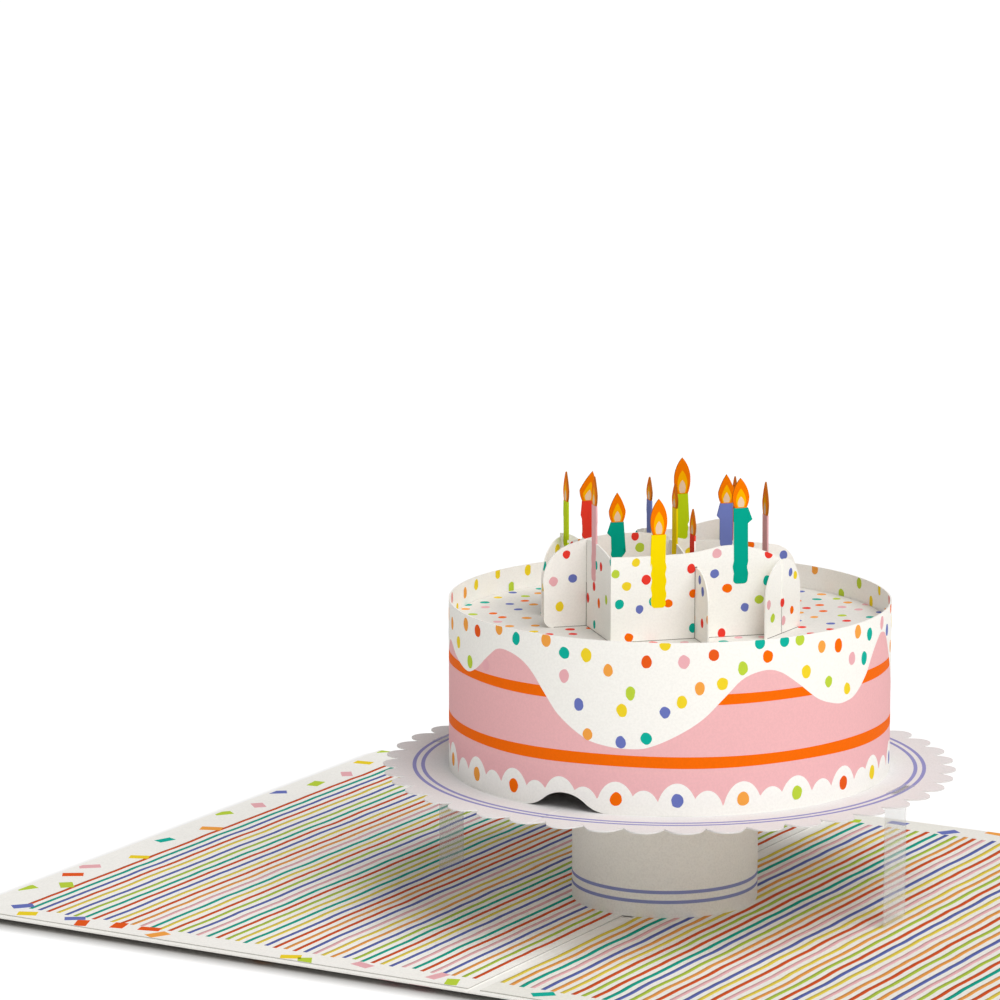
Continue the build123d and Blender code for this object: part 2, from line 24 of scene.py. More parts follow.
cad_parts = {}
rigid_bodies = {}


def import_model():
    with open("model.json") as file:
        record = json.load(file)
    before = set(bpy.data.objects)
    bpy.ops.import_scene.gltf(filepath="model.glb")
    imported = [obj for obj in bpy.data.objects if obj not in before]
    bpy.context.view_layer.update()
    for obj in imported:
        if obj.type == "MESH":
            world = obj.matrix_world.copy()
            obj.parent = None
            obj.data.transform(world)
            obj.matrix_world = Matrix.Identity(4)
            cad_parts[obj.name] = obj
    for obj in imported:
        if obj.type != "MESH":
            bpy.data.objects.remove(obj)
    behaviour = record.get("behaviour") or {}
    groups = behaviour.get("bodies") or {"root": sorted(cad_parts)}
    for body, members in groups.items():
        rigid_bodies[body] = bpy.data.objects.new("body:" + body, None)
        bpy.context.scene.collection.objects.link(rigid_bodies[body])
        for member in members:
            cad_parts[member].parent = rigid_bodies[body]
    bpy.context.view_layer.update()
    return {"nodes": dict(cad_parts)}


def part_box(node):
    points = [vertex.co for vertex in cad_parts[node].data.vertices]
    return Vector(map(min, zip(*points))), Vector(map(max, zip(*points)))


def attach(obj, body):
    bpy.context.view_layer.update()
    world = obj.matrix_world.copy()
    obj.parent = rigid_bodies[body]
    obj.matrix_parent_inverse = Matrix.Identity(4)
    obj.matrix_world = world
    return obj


LOG = logging.getLogger("card")
MM = 0.001
ROOT_BODY = "root"
UP = Vector((0, 0, 1))

Socket = bpy.types.NodeSocket
Point = tuple[float, float]
Spot = tuple[float, float, "Ink"]
Curve = Callable[[float], float]

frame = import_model()


class Ink(Enum):
    """Printed colours, as they look in even light, and the painted shade of the tier's seams and of
    the flames' narrow edges.
    """

    ORANGE_RED = (234, 92, 30)
    ORANGE = (250, 110, 8)
    LIGHT_ORANGE = (247, 166, 74)
    YELLOW = (243, 214, 46)
    LIME = (190, 214, 66)
    TEAL = (18, 178, 158)
    BLUE = (108, 120, 190)
    PINK = (238, 178, 184)
    RED = (238, 62, 51)
    CAKE_PINK = (244, 187, 189)
    STRAW = (226, 203, 80)
    RUST = (211, 86, 40)
    MOSS = (174, 197, 72)
    PINE = (20, 163, 142)
    DUSK = (94, 106, 174)
    ROSE = (231, 179, 182)
    AMBER = (232, 157, 78)
    LAVENDER = (150, 150, 200)
    STEM_BLUE = (146, 154, 204)
    CANDLE_YELLOW = (252, 222, 4)
    CANDLE_TEAL = (4, 166, 142)
    CANDLE_LIME = (194, 218, 24)
    CANDLE_BLUE = (118, 132, 200)
    CANDLE_RED = (240, 64, 48)
    CANDLE_PINK = (238, 180, 184)
    FLAME_RIM = (246, 122, 0)
    FLAME_HEART = (255, 180, 0)
    FLAME_CORE = (238, 205, 172)
    # Painted shade on the flames' narrow cut edges.
    FLAME_EDGE = (176, 96, 22)
    # Painted shade, not print: thin dark lines where tier sheets meet the disc, cross each other
    # and fold.
    SEAM = (136, 131, 125)
    ICING = (254, 252, 246)


def inks(names: str) -> tuple[Ink, ...]:
    """Inks from a text that lists their names."""
    return tuple(Ink[name] for name in names.split())


def listed(rows: str) -> tuple[Spot, ...]:
    """Printed dots from a text that lists place, height and ink of each one."""
    words = iter(rows.split())
    return tuple((float(x), float(z), Ink[name]) for x, z, name in zip(words, words, words))


DOT_INKS = inks("YELLOW LIME RED TEAL BLUE ORANGE PINK LIGHT_ORANGE")


def linear(rgb: Sequence[float]) -> tuple[float, float, float, float]:
    """Colour with sRGB channels of 0 to 255, in the linear form that shaders use.

    Args:
        rgb: Three channels.

    Returns:
        Four channels of 0 to 1, the last one being full alpha.
    """
    shares = [channel / 255 for channel in rgb]
    curve = [s / 12.92 if s <= 0.04045 else ((s + 0.055) / 1.055) ** 2.4 for s in shares]
    return (curve[0], curve[1], curve[2], 1.0)


class Graph:
    """A node tree that is built by naming each node's type, sockets and settings."""

    def __init__(self, tree: bpy.types.NodeTree) -> None:
        """Keep the tree, which starts empty."""
        self.tree = tree
        tree.nodes.clear()

    def feed(self, node: bpy.types.Node, sockets: dict) -> None:
        """Set inputs of a node.

        Args:
            node: The node.
            sockets: Values or links of its inputs, by name or by number. A node among them
                stands for its first output.
        """
        for key, value in sockets.items():
            if isinstance(value, bpy.types.Node):
                value = value.outputs[0]
            elif isinstance(value, Shade):
                value = value.socket
            if isinstance(value, Socket):
                self.tree.links.new(value, node.inputs[key])
            else:
                node.inputs[key].default_value = value

    def node(self, kind: str, sockets: dict | None = None, **settings: Any) -> bpy.types.Node:
        """Add one node.

        Args:
            kind: Type of the node.
            sockets: Values or links of its inputs, by name or by number.
            settings: Its properties, which are set first.

        Returns:
            The new node.
        """
        made = self.tree.nodes.new(kind)
        for key, value in settings.items():
            setattr(made, key, value)
        self.feed(made, sockets or {})
        return made

    def vector(self, operation: str, first: Any, second: Any) -> bpy.types.Node:
        """Add a Vector Math node over two values, of which the second one may be a scale."""
        key = "Scale" if operation == "SCALE" else 1
        return self.node("ShaderNodeVectorMath", {0: first, key: second}, operation=operation)

    def mix(self, share: Any, first: Any, second: Any) -> Socket:
        """Colour between two others."""
        sockets = {"Factor": share, "A": first, "B": second}
        return self.node("ShaderNodeMix", sockets, data_type="RGBA").outputs["Result"]

    def ramp(
        self, factor: Shade, stops: Sequence[tuple[float, Sequence[float]]], steps: bool = False
    ) -> Socket:
        """Add a colour ramp.

        Args:
            factor: What the ramp reads.
            stops: Places and colours.
            steps: True for flat fields of colour with hard borders.

        Returns:
            The ramp's colour output.
        """
        made = self.node("ShaderNodeValToRGB", {"Fac": factor})
        band = made.color_ramp
        band.interpolation = "CONSTANT" if steps else "LINEAR"
        while len(band.elements) < len(stops):
            band.elements.new(1.0)
        for element, (place, colour) in zip(band.elements, stops):
            element.position = place
            element.color = colour
        return made.outputs["Color"]


@dataclass(frozen=True)
class Shade:
    """A number that changes over a surface, with the arithmetic that a pattern needs."""

    graph: Graph
    socket: Socket

    def _maths(self, operation: str, *values: Shade | float) -> Shade:
        """Add a Math node over the given values."""
        made = self.graph.node("ShaderNodeMath", dict(enumerate(values)), operation=operation)
        return Shade(self.graph, made.outputs[0])

    def __add__(self, other: Shade | float) -> Shade:
        """Sum."""
        return self._maths("ADD", self, other)

    __radd__ = __add__

    def __sub__(self, other: Shade | float) -> Shade:
        """Difference."""
        return self._maths("SUBTRACT", self, other)

    def __rsub__(self, other: float) -> Shade:
        """Difference from a number, such as 1 - mask."""
        return self._maths("SUBTRACT", other, self)

    def __mul__(self, other: Shade | float) -> Shade:
        """Product."""
        return self._maths("MULTIPLY", self, other)

    __rmul__ = __mul__

    def __lt__(self, other: Shade | float) -> Shade:
        """One where the value is smaller, and nought elsewhere."""
        return self._maths("LESS_THAN", self, other)

    def __gt__(self, other: Shade | float) -> Shade:
        """One where the value is larger, and nought elsewhere."""
        return self._maths("GREATER_THAN", self, other)

    def __abs__(self) -> Shade:
        """Size without sign."""
        return self._maths("ABSOLUTE", self)

    def root(self) -> Shade:
        """Square root."""
        return self._maths("SQRT", self)

    def sine(self) -> Shade:
        """Sine of an angle in radians."""
        return self._maths("SINE", self)

    def cosine(self) -> Shade:
        """Cosine of an angle in radians."""
        return self._maths("COSINE", self)


@dataclass(frozen=True)
class Surface:
    """Shader of a finish, and what it can read: its place in millimetres, and its parts."""

    graph: Graph
    shader: bpy.types.Node
    place: Socket
    x: Shade
    y: Shade
    z: Shade

    def noise(self, size: float, detail: float, stretch: Sequence[float] = (1, 1, 1)) -> Shade:
        """Cloudy pattern.

        Args:
            size: Size of its clouds in millimetres.
            detail: How many finer layers it has.
            stretch: Scale along each axis, for fibres and streaks.

        Returns:
            A value about 0.5.
        """
        mapped = self.graph.node("ShaderNodeMapping", {"Vector": self.place, "Scale": stretch})
        sockets = {"Vector": mapped, "Scale": 1 / size, "Detail": detail, "Roughness": 0.55}
        return Shade(self.graph, self.graph.node("ShaderNodeTexNoise", sockets).outputs[0])

    def wear(self, sockets: dict) -> None:
        """Set inputs of the shader, by name."""
        self.graph.feed(self.shader, sockets)


class Finish:
    """A material that is made once and then shared."""

    _made: dict[str, bpy.types.Material] = {}

    def __init__(self, name: str) -> None:
        """Name the finish."""
        self.name = name

    def material(self) -> bpy.types.Material:
        """The material, made at its first use."""
        if self.name not in Finish._made:
            made = bpy.data.materials.new(self.name)
            made.use_nodes = True
            graph = Graph(made.node_tree)
            coordinates = graph.node("ShaderNodeTexCoord")
            place = graph.vector("SCALE", coordinates.outputs["Object"], 1 / MM)
            parts = graph.node("ShaderNodeSeparateXYZ", {0: place})
            shader = graph.node("ShaderNodeBsdfPrincipled")
            graph.node("ShaderNodeOutputMaterial", {"Surface": shader})
            x, y, z = (Shade(graph, out) for out in parts.outputs)
            self.dress(Surface(graph, shader, place.outputs[0], x, y, z))
            Finish._made[self.name] = made
        return Finish._made[self.name]

    def dress(self, surface: Surface) -> None:
        """Set the shader's sockets. Each finish has its own way."""
        raise NotImplementedError


@dataclass(frozen=True)
class Tooth:
    """Fine relief of paper: soft clouds from the pulp and the smaller fibres over them."""

    strength: float = 0.22
    fibre_size: float = 0.3
    fibre_stretch: tuple[float, float, float] = (1.0, 0.55, 1.0)
    cloud_size: float = 1.7
    depth: float = 0.006

    def relief(self, surface: Surface) -> Socket:
        """Bumped normal that the relief gives.

        Args:
            surface: Where it lies.

        Returns:
            The normal.
        """
        fibres = surface.noise(self.fibre_size, 3.0, self.fibre_stretch)
        height = fibres * 0.8 + surface.noise(self.cloud_size, 2.0) * 0.2
        sockets = {"Strength": self.strength, "Distance": self.depth * MM, "Height": height}
        return surface.graph.node("ShaderNodeBump", sockets).outputs[0]


class Card(Finish):
    """Uncoated card, with fine speckle in its colour, uneven gloss and a paper tooth."""

    fibre_size = 0.42
    cloud_size = 5.0
    smoothest = 0.77

    def __init__(self, name: str, colour: Sequence[float], speckle: float = 0.02) -> None:
        """Name the card.

        Args:
            name: Name of the finish.
            colour: Its colour in sRGB channels.
            speckle: How much darker its fibres are, as a share.
        """
        super().__init__(name)
        self.colour = colour
        self.speckle = speckle

    def dress(self, surface: Surface) -> None:
        """Speckled colour, uneven gloss and tooth."""
        fibres = surface.noise(self.fibre_size, 4.0)
        shade = fibres * 0.8 + surface.noise(self.cloud_size, 2.0) * 0.2
        darker = [channel * (1 - self.speckle) for channel in self.colour]
        mixed = surface.graph.ramp(shade, [(0.38, linear(darker)), (0.58, linear(self.colour))])
        surface.wear({
            "Base Color": self.tint(surface, mixed),
            "Roughness": fibres * 0.1 + self.smoothest,
            "Specular IOR Level": 0.1,
            "Normal": Tooth().relief(surface),
        })

    def tint(self, surface: Surface, colour: Socket) -> Socket:
        """Print or painted shade on the card itself, which plain card lacks."""
        return colour


class LinerPaper(Card):
    """Smooth white paper of the liners, with a painted shade on its cut edge, darker than its
    faces.
    """

    faces = (0.35, 0.65)
    skin = 0.02
    edge_shade = 0.62

    def tint(self, surface: Surface, colour: Socket) -> Socket:
        """Paint shade on the cut edge, which lies between the paper's two faces."""
        low, high = self.faces
        # Painted shade along the cut edge, darker than the paper's faces.
        edge = (surface.z > low + self.skin) * (surface.z < high - self.skin)
        darker = surface.graph.vector("SCALE", colour, self.edge_shade)
        return surface.graph.mix(edge, colour, darker)


class CoverCard(Card):
    """Cover card, with the outside of its front panel printed with scattered confetti."""

    cell = 13.5
    scatter = 0.7
    fleck_half = (1.55, 2.5)
    underside = 0.05
    fold_margin = 4.0
    palette = inks("BLUE ORANGE LIME TEAL PINK LIGHT_ORANGE")

    def tint(self, surface: Surface, colour: Socket) -> Socket:
        """Confetti on the underside of the left panel.

        Args:
            surface: Where it lies.
            colour: The bare card.

        Returns:
            The printed card.
        """
        graph = surface.graph
        scale = (1 / self.cell, 1 / self.cell, 0.0)
        flat = graph.node("ShaderNodeMapping", {"Vector": surface.place, "Scale": scale})
        cells = graph.node(
            "ShaderNodeTexVoronoi",
            {"Vector": flat, "Scale": 1.0, "Randomness": self.scatter},
            voronoi_dimensions="2D",
            feature="F1",
        )
        away = graph.vector("SUBTRACT", flat, cells.outputs["Position"])
        chance = graph.node("ShaderNodeSeparateColor", {0: cells.outputs["Color"]})
        parts = graph.node("ShaderNodeSeparateXYZ", {0: away})
        dx, dy = (Shade(graph, parts.outputs[axis]) * self.cell for axis in (0, 1))
        turn = Shade(graph, chance.outputs[0]) * (2 * math.pi)
        across = dx * turn.cosine() + dy * turn.sine()
        along = dy * turn.cosine() - dx * turn.sine()
        fleck = (abs(across) < self.fleck_half[0]) * (abs(along) < self.fleck_half[1])
        outside = (surface.z < self.underside) * (surface.x < -self.fold_margin)
        steps = [(n / len(self.palette), linear(ink.value)) for n, ink in enumerate(self.palette)]
        print_colour = graph.ramp(Shade(graph, chance.outputs[1]), steps, steps=True)
        return graph.mix(fleck * outside, colour, print_colour)


class Printed(Finish):
    """Ink on card: flat colour that lets the card's tooth show and is a little smoother."""

    kind = "ink"
    rough = 0.62

    def __init__(self, ink: Ink) -> None:
        """Name the print after its ink."""
        super().__init__(f"{self.kind}_{ink.name.lower()}")
        self.ink = ink

    def dress(self, surface: Surface) -> None:
        """One even colour over the tooth."""
        surface.wear({
            "Base Color": linear(self.ink.value),
            "Roughness": self.rough,
            "Specular IOR Level": 0.02,
            "Normal": Tooth(0.15).relief(surface),
        })


class Field(Printed):
    """Ink over a large area, where the press leaves faint clouds in the colour."""

    kind = "field"
    rough = 0.6
    cloud_size = 0.5
    cloud_shade = 0.982

    def dress(self, surface: Surface) -> None:
        """Clouded colour over the tooth."""
        super().dress(surface)
        clouds = surface.noise(self.cloud_size, 4.0)
        darker = [channel * self.cloud_shade for channel in self.ink.value]
        stops = [(0.4, linear(darker)), (0.6, linear(self.ink.value))]
        surface.wear({"Base Color": surface.graph.ramp(clouds, stops)})


class ClearFilm(Finish):
    """Clear film, a little grey, with faint rub marks from handling."""

    colour = (230, 233, 235)
    glued_height = 1.2
    glued_alpha = 0.04
    upright_alpha = 0.21

    def dress(self, surface: Surface) -> None:
        """Mostly see-through, smooth, with cloudy gloss, and clearer where it is glued down."""
        surface.wear({
            "Base Color": linear(self.colour),
            "Roughness": surface.noise(1.6, 5.0, (1.0, 1.0, 0.25)) * 0.2 + 0.04,
            "IOR": 1.5,
            "Alpha": (surface.z > self.glued_height) * self.upright_alpha + self.glued_alpha,
        })


class TableTop(Finish):
    """Pale table, with a glow of its own around the card, and a painted shadow round and under it.
    """

    grain_size = 6.0
    tones = ((247, 247, 246), (250, 250, 249))
    shaded = (182, 180, 177)
    glow = 0.28
    reach = 5.5

    def __init__(self, name: str, half_width: float, half_length: float) -> None:
        """Name the finish.

        Args:
            name: Its name.
            half_width: Half the card's width in millimetres.
            half_length: Half its length.
        """
        super().__init__(name)
        self.half_width = half_width
        self.half_length = half_length

    def dress(self, surface: Surface) -> None:
        """Near white with a very faint grain, and a glow that fades out towards the card, where the
        colour darkens into a painted shadow.
        """
        graph = surface.graph
        low, high = (linear(tone) for tone in self.tones)
        pale = graph.ramp(surface.noise(self.grain_size, 3.0), [(0.3, low), (0.7, high)])
        # Painted contact shadow: within reach of the card's outline the colour darkens to shaded
        # and the glow fades out.
        aside = abs(surface.x) - self.half_width
        ahead = abs(surface.y) - self.half_length
        beyond = aside * aside * (aside > 0.0) + ahead * ahead * (ahead > 0.0)
        black, white = (0.0, 0.0, 0.0, 1.0), (1.0, 1.0, 1.0, 1.0)
        clear = graph.ramp(beyond.root() * (1 / self.reach), [(0.0, black), (1.0, white)])
        surface.wear({
            "Base Color": graph.mix(clear, linear(self.shaded), pale),
            "Roughness": 0.8,
            "Emission Color": clear,
            "Emission Strength": self.glow,
        })


@dataclass(frozen=True)
class Levels:
    """Heights and radii of the card in millimetres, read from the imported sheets."""

    liner_top: float
    plate_top: float
    drum_radius: float
    drum_rim: float
    disc_top: float
    stem_radius: float
    stem_middle: float
    panel_half: float
    length_half: float
    sheet: float = 0.3

    @classmethod
    def from_frame(cls) -> Levels:
        """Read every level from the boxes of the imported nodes."""
        drum, stem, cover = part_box("drum_wall"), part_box("stem_wall"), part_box("card_cover")
        return cls(
            liner_top=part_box("liner_left")[1][2] / MM,
            plate_top=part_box("plate")[1][2] / MM,
            drum_radius=(drum[1][0] - drum[0][0]) / 2 / MM,
            drum_rim=drum[1][2] / MM,
            disc_top=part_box("drum_top")[1][2] / MM,
            stem_radius=(stem[1][0] - stem[0][0]) / 2 / MM,
            stem_middle=(stem[1][0] + stem[0][0]) / 2 / MM,
            panel_half=cover[1][0] / MM,
            length_half=cover[1][1] / MM,
        )


def finish_piece(mesh: bpy.types.Mesh, name: str) -> bpy.types.Object:
    """Make a mesh an object of the card.

    Args:
        mesh: The mesh, in metres in the card's frame.
        name: Name of the piece.

    Returns:
        The object, riding on the card.
    """
    piece = bpy.data.objects.new(name, mesh)
    mesh.name = name
    bpy.context.scene.collection.objects.link(piece)
    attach(piece, ROOT_BODY)
    LOG.info("%s: %d faces", name, len(mesh.polygons))
    return piece


def polar(angle: float, radius: float, height: float, middle: float = 0.0) -> Vector:
    """Point round an upright axis, its angle counted from the reader's side towards +X.

    Args:
        angle: The angle in degrees.
        radius: Distance from the axis in millimetres.
        height: Height in millimetres.
        middle: Place of the axis across the card.

    Returns:
        The point in metres.
    """
    turn = math.radians(angle)
    return Vector((middle + radius * math.sin(turn), -radius * math.cos(turn), height)) * MM


class Solid:
    """A mesh under construction, of closed shells in several inks."""

    def __init__(self) -> None:
        """Start with no faces."""
        self.bm = bmesh.new()
        self.inks: list[Finish] = []

    def _slot(self, finish: Finish) -> int:
        """Number of a finish in this mesh."""
        names = [known.name for known in self.inks]
        if finish.name not in names:
            self.inks.append(finish)
            names.append(finish.name)
        return names.index(finish.name)

    def hoop(
        self,
        finish: Finish,
        section: Callable[[float], Sequence[Point]],
        steps: int,
        start: float = 0.0,
        middle: float = 0.0,
    ) -> None:
        """Closed ring round an upright axis.

        Args:
            finish: What covers it.
            section: Corners of its section at an angle, as radius and height.
            steps: How many sections it has.
            start: Angle of the first one in degrees.
            middle: Place of its axis across the card.
        """
        slot = self._slot(finish)
        rings = []
        for step in range(steps):
            angle = start + 360 * step / steps
            corners = [polar(angle, radius, height, middle) for radius, height in section(angle)]
            rings.append([self.bm.verts.new(corner) for corner in corners])
        for here, there in zip(rings, rings[1:] + rings[:1]):
            for index, corner in enumerate(here):
                after = (index + 1) % len(here)
                face = self.bm.faces.new((corner, here[after], there[after], there[index]))
                face.material_index = slot

    def prism(
        self,
        outline: Sequence[Vector],
        depth: Vector,
        finish: Finish,
        edge: Finish | None = None,
    ) -> None:
        """Closed plate of any outline.

        Args:
            outline: Its corners in order, in metres.
            depth: From this face to the other one.
            finish: What covers it.
            edge: What covers its narrow sides, if that differs.
        """
        slot = self._slot(finish)
        edge_slot = self._slot(edge or finish)
        near = [self.bm.verts.new(corner) for corner in outline]
        far = [self.bm.verts.new(corner + depth) for corner in outline]
        for corners in (near, far[::-1]):
            self.bm.faces.new(corners).material_index = slot
        for index in range(len(outline)):
            after = (index + 1) % len(outline)
            side = self.bm.faces.new((near[after], near[index], far[index], far[after]))
            side.material_index = edge_slot

    def piece(self, name: str, slot: str) -> bpy.types.Object:
        """Make the mesh an object of the card, with its faces turned outwards.

        Args:
            name: Name of the piece.
            slot: Not used.

        Returns:
            The object.
        """
        bmesh.ops.recalc_face_normals(self.bm, faces=self.bm.faces)
        made = bpy.data.meshes.new(name)
        self.bm.to_mesh(made)
        self.bm.free()
        for finish in self.inks:
            made.materials.append(finish.material())
        return finish_piece(made, name)


@dataclass(frozen=True)
class Dot:
    """One printed dot or fleck: where it lies, which way it faces and how large it is."""

    place: Vector
    outward: Vector
    upward: Vector
    ink: Ink
    width: float
    height: float
    sheet: str


class Trim:
    """Face of a packed sheet, which the prints on it don't pass.

    gap is how far from a print its sheet is sought, in millimetres. A corner is drawn in if
    the sheet ends before margin times its distance, in a number of halvings and to no less
    than least of it.
    """

    gap = 0.12
    margin = 1.06
    halvings = 9
    least = 0.02

    def __init__(self, name: str) -> None:
        """Keep the faces of the named sheet."""
        mesh = frame["nodes"][name].data
        corners = [vertex.co for vertex in mesh.vertices]
        polygons = [tuple(face.vertices) for face in mesh.polygons]
        self.faces = BVHTree.FromPolygons(corners, polygons)

    def holds(self, place: Vector, outward: Vector) -> bool:
        """True if the sheet lies right under a place."""
        start = place + outward * self.gap * MM
        return self.faces.ray_cast(start, -outward, 2 * self.gap * MM)[0] is not None

    def outline(self, dot: Dot, fleck: bool) -> tuple[list[Vector], bool]:
        """Outline of a dot, drawn in to the cut edge where it would pass it.

        Args:
            dot: The dot.
            fleck: True for a rectangle, False for an oval.

        Returns:
            Its corners, and True if any of them was drawn in.
        """
        outward, upward = dot.outward.normalized(), dot.upward.normalized()
        across = upward.cross(outward)
        corners, cut = [], False
        count = 48 if fleck else 24
        for step in range(count):
            turn = 2 * math.pi * step / count
            x, y = math.cos(turn), math.sin(turn)
            size = 0.25 * 2**0.5 / max(abs(x), abs(y)) if fleck else 0.5
            reach = (across * x * dot.width + upward * y * dot.height) * size * MM
            share = 1.0
            if not self.holds(dot.place + reach * self.margin, outward):
                cut = True
                low, high = 0.0, 1.0
                for _ in range(self.halvings):
                    middle = (low + high) / 2
                    if self.holds(dot.place + reach * middle, outward):
                        low = middle
                    else:
                        high = middle
                share = max(low, self.least)
            corners.append(dot.place + reach * share)
        return corners, cut


class PrintTree:
    """Geometry Nodes that turn loose points or lines into print in several inks."""

    def __init__(
        self, name: str, source: str, inputs: dict[str, str], palette: Sequence[Ink]
    ) -> None:
        """Start the tree.

        Args:
            name: Name of the tree.
            source: Name of its geometry input.
            inputs: Kind of each further input, by name.
            palette: The inks that its points may carry.
        """
        self.palette = palette
        self.tree = bpy.data.node_groups.new(name, "GeometryNodeTree")
        self._socket(source, "Geometry", "INPUT")
        self.ids = {key: self._socket(key, kind, "INPUT") for key, kind in inputs.items()}
        self._socket("Print", "Geometry", "OUTPUT")
        self.graph = Graph(self.tree)
        self.start = self.graph.node("NodeGroupInput")

    def _socket(self, name: str, kind: str, way: str) -> str:
        """Add an input or an output to the tree, and give its identifier."""
        made = self.tree.interface.new_socket(name, in_out=way, socket_type=f"NodeSocket{kind}")
        return made.identifier

    def read(self, name: str, kind: str = "FLOAT_VECTOR") -> Socket:
        """Output of a node that reads what each point stores under a name."""
        made = self.graph.node("GeometryNodeInputNamedAttribute", {"Name": name}, data_type=kind)
        return made.outputs["Attribute"]

    def noise(self, scale: float, detail: float) -> bpy.types.Node:
        """Cloudy pattern in space, its scale counted per metre."""
        return self.graph.node("ShaderNodeTexNoise", {"Scale": scale, "Detail": detail})

    def shifted(self, flow: Any, shift: bpy.types.Node) -> bpy.types.Node:
        """Geometry whose points are moved."""
        return self.graph.node("GeometryNodeSetPosition", {"Geometry": flow, "Offset": shift})

    def close(self, flow: Any, shift: bpy.types.Node | None = None) -> None:
        """Realize the print, give each part of it the finish of its ink and hand it out.

        Args:
            flow: The print, whose points carry the number of their ink.
            shift: How far its realized points are moved.
        """
        flow = self.graph.node("GeometryNodeRealizeInstances", {"Geometry": flow})
        if shift is not None:
            flow = self.shifted(flow, shift)
        number = self.read("ink", "INT")
        for index, ink in enumerate(self.palette):
            same = self.graph.node(
                "FunctionNodeCompare", {"A": number, "B": index}, data_type="INT", operation="EQUAL"
            )
            sockets = {"Geometry": flow, "Selection": same, "Material": Printed(ink).material()}
            flow = self.graph.node("GeometryNodeSetMaterial", sockets)
        self.graph.node("NodeGroupOutput", {"Print": flow})

    def loose(
        self,
        name: str,
        points: Sequence[Vector],
        edges: Sequence[tuple[int, int]],
        carried: Sequence[Ink],
    ) -> bpy.types.Mesh:
        """Loose points or lines that the tree can run over.

        Args:
            name: Name of the mesh.
            points: The points, in metres.
            edges: The lines, as pairs of points.
            carried: The ink of each point.

        Returns:
            The mesh.
        """
        mesh = bpy.data.meshes.new(name)
        mesh.from_pydata(points, edges, [])
        numbers = mesh.attributes.new("ink", "INT", "POINT")
        numbers.data.foreach_set("value", [self.palette.index(ink) for ink in carried])
        return mesh

    def grow(self, mesh: bpy.types.Mesh, values: dict[str, float], name: str, slot: str) -> None:
        """Run the tree over a mesh, and make what comes out an object of the card.

        Args:
            mesh: What goes in.
            values: The tree's further inputs, by name.
            name: Name of the piece.
            slot: Not used.
        """
        seed = bpy.data.objects.new("seed_of_" + name, mesh)
        bpy.context.scene.collection.objects.link(seed)
        modifier = seed.modifiers.new("print", "NODES")
        modifier.node_group = self.tree
        for key, value in values.items():
            modifier[self.ids[key]] = value
        depsgraph = bpy.context.evaluated_depsgraph_get()
        made = bpy.data.meshes.new_from_object(seed.evaluated_get(depsgraph))
        for stored in ("outward", "upward", "spread", "ink"):
            if stored in made.attributes:
                made.attributes.remove(made.attributes[stored])
        bpy.data.objects.remove(seed)
        bpy.data.meshes.remove(mesh)
        finish_piece(made, name)


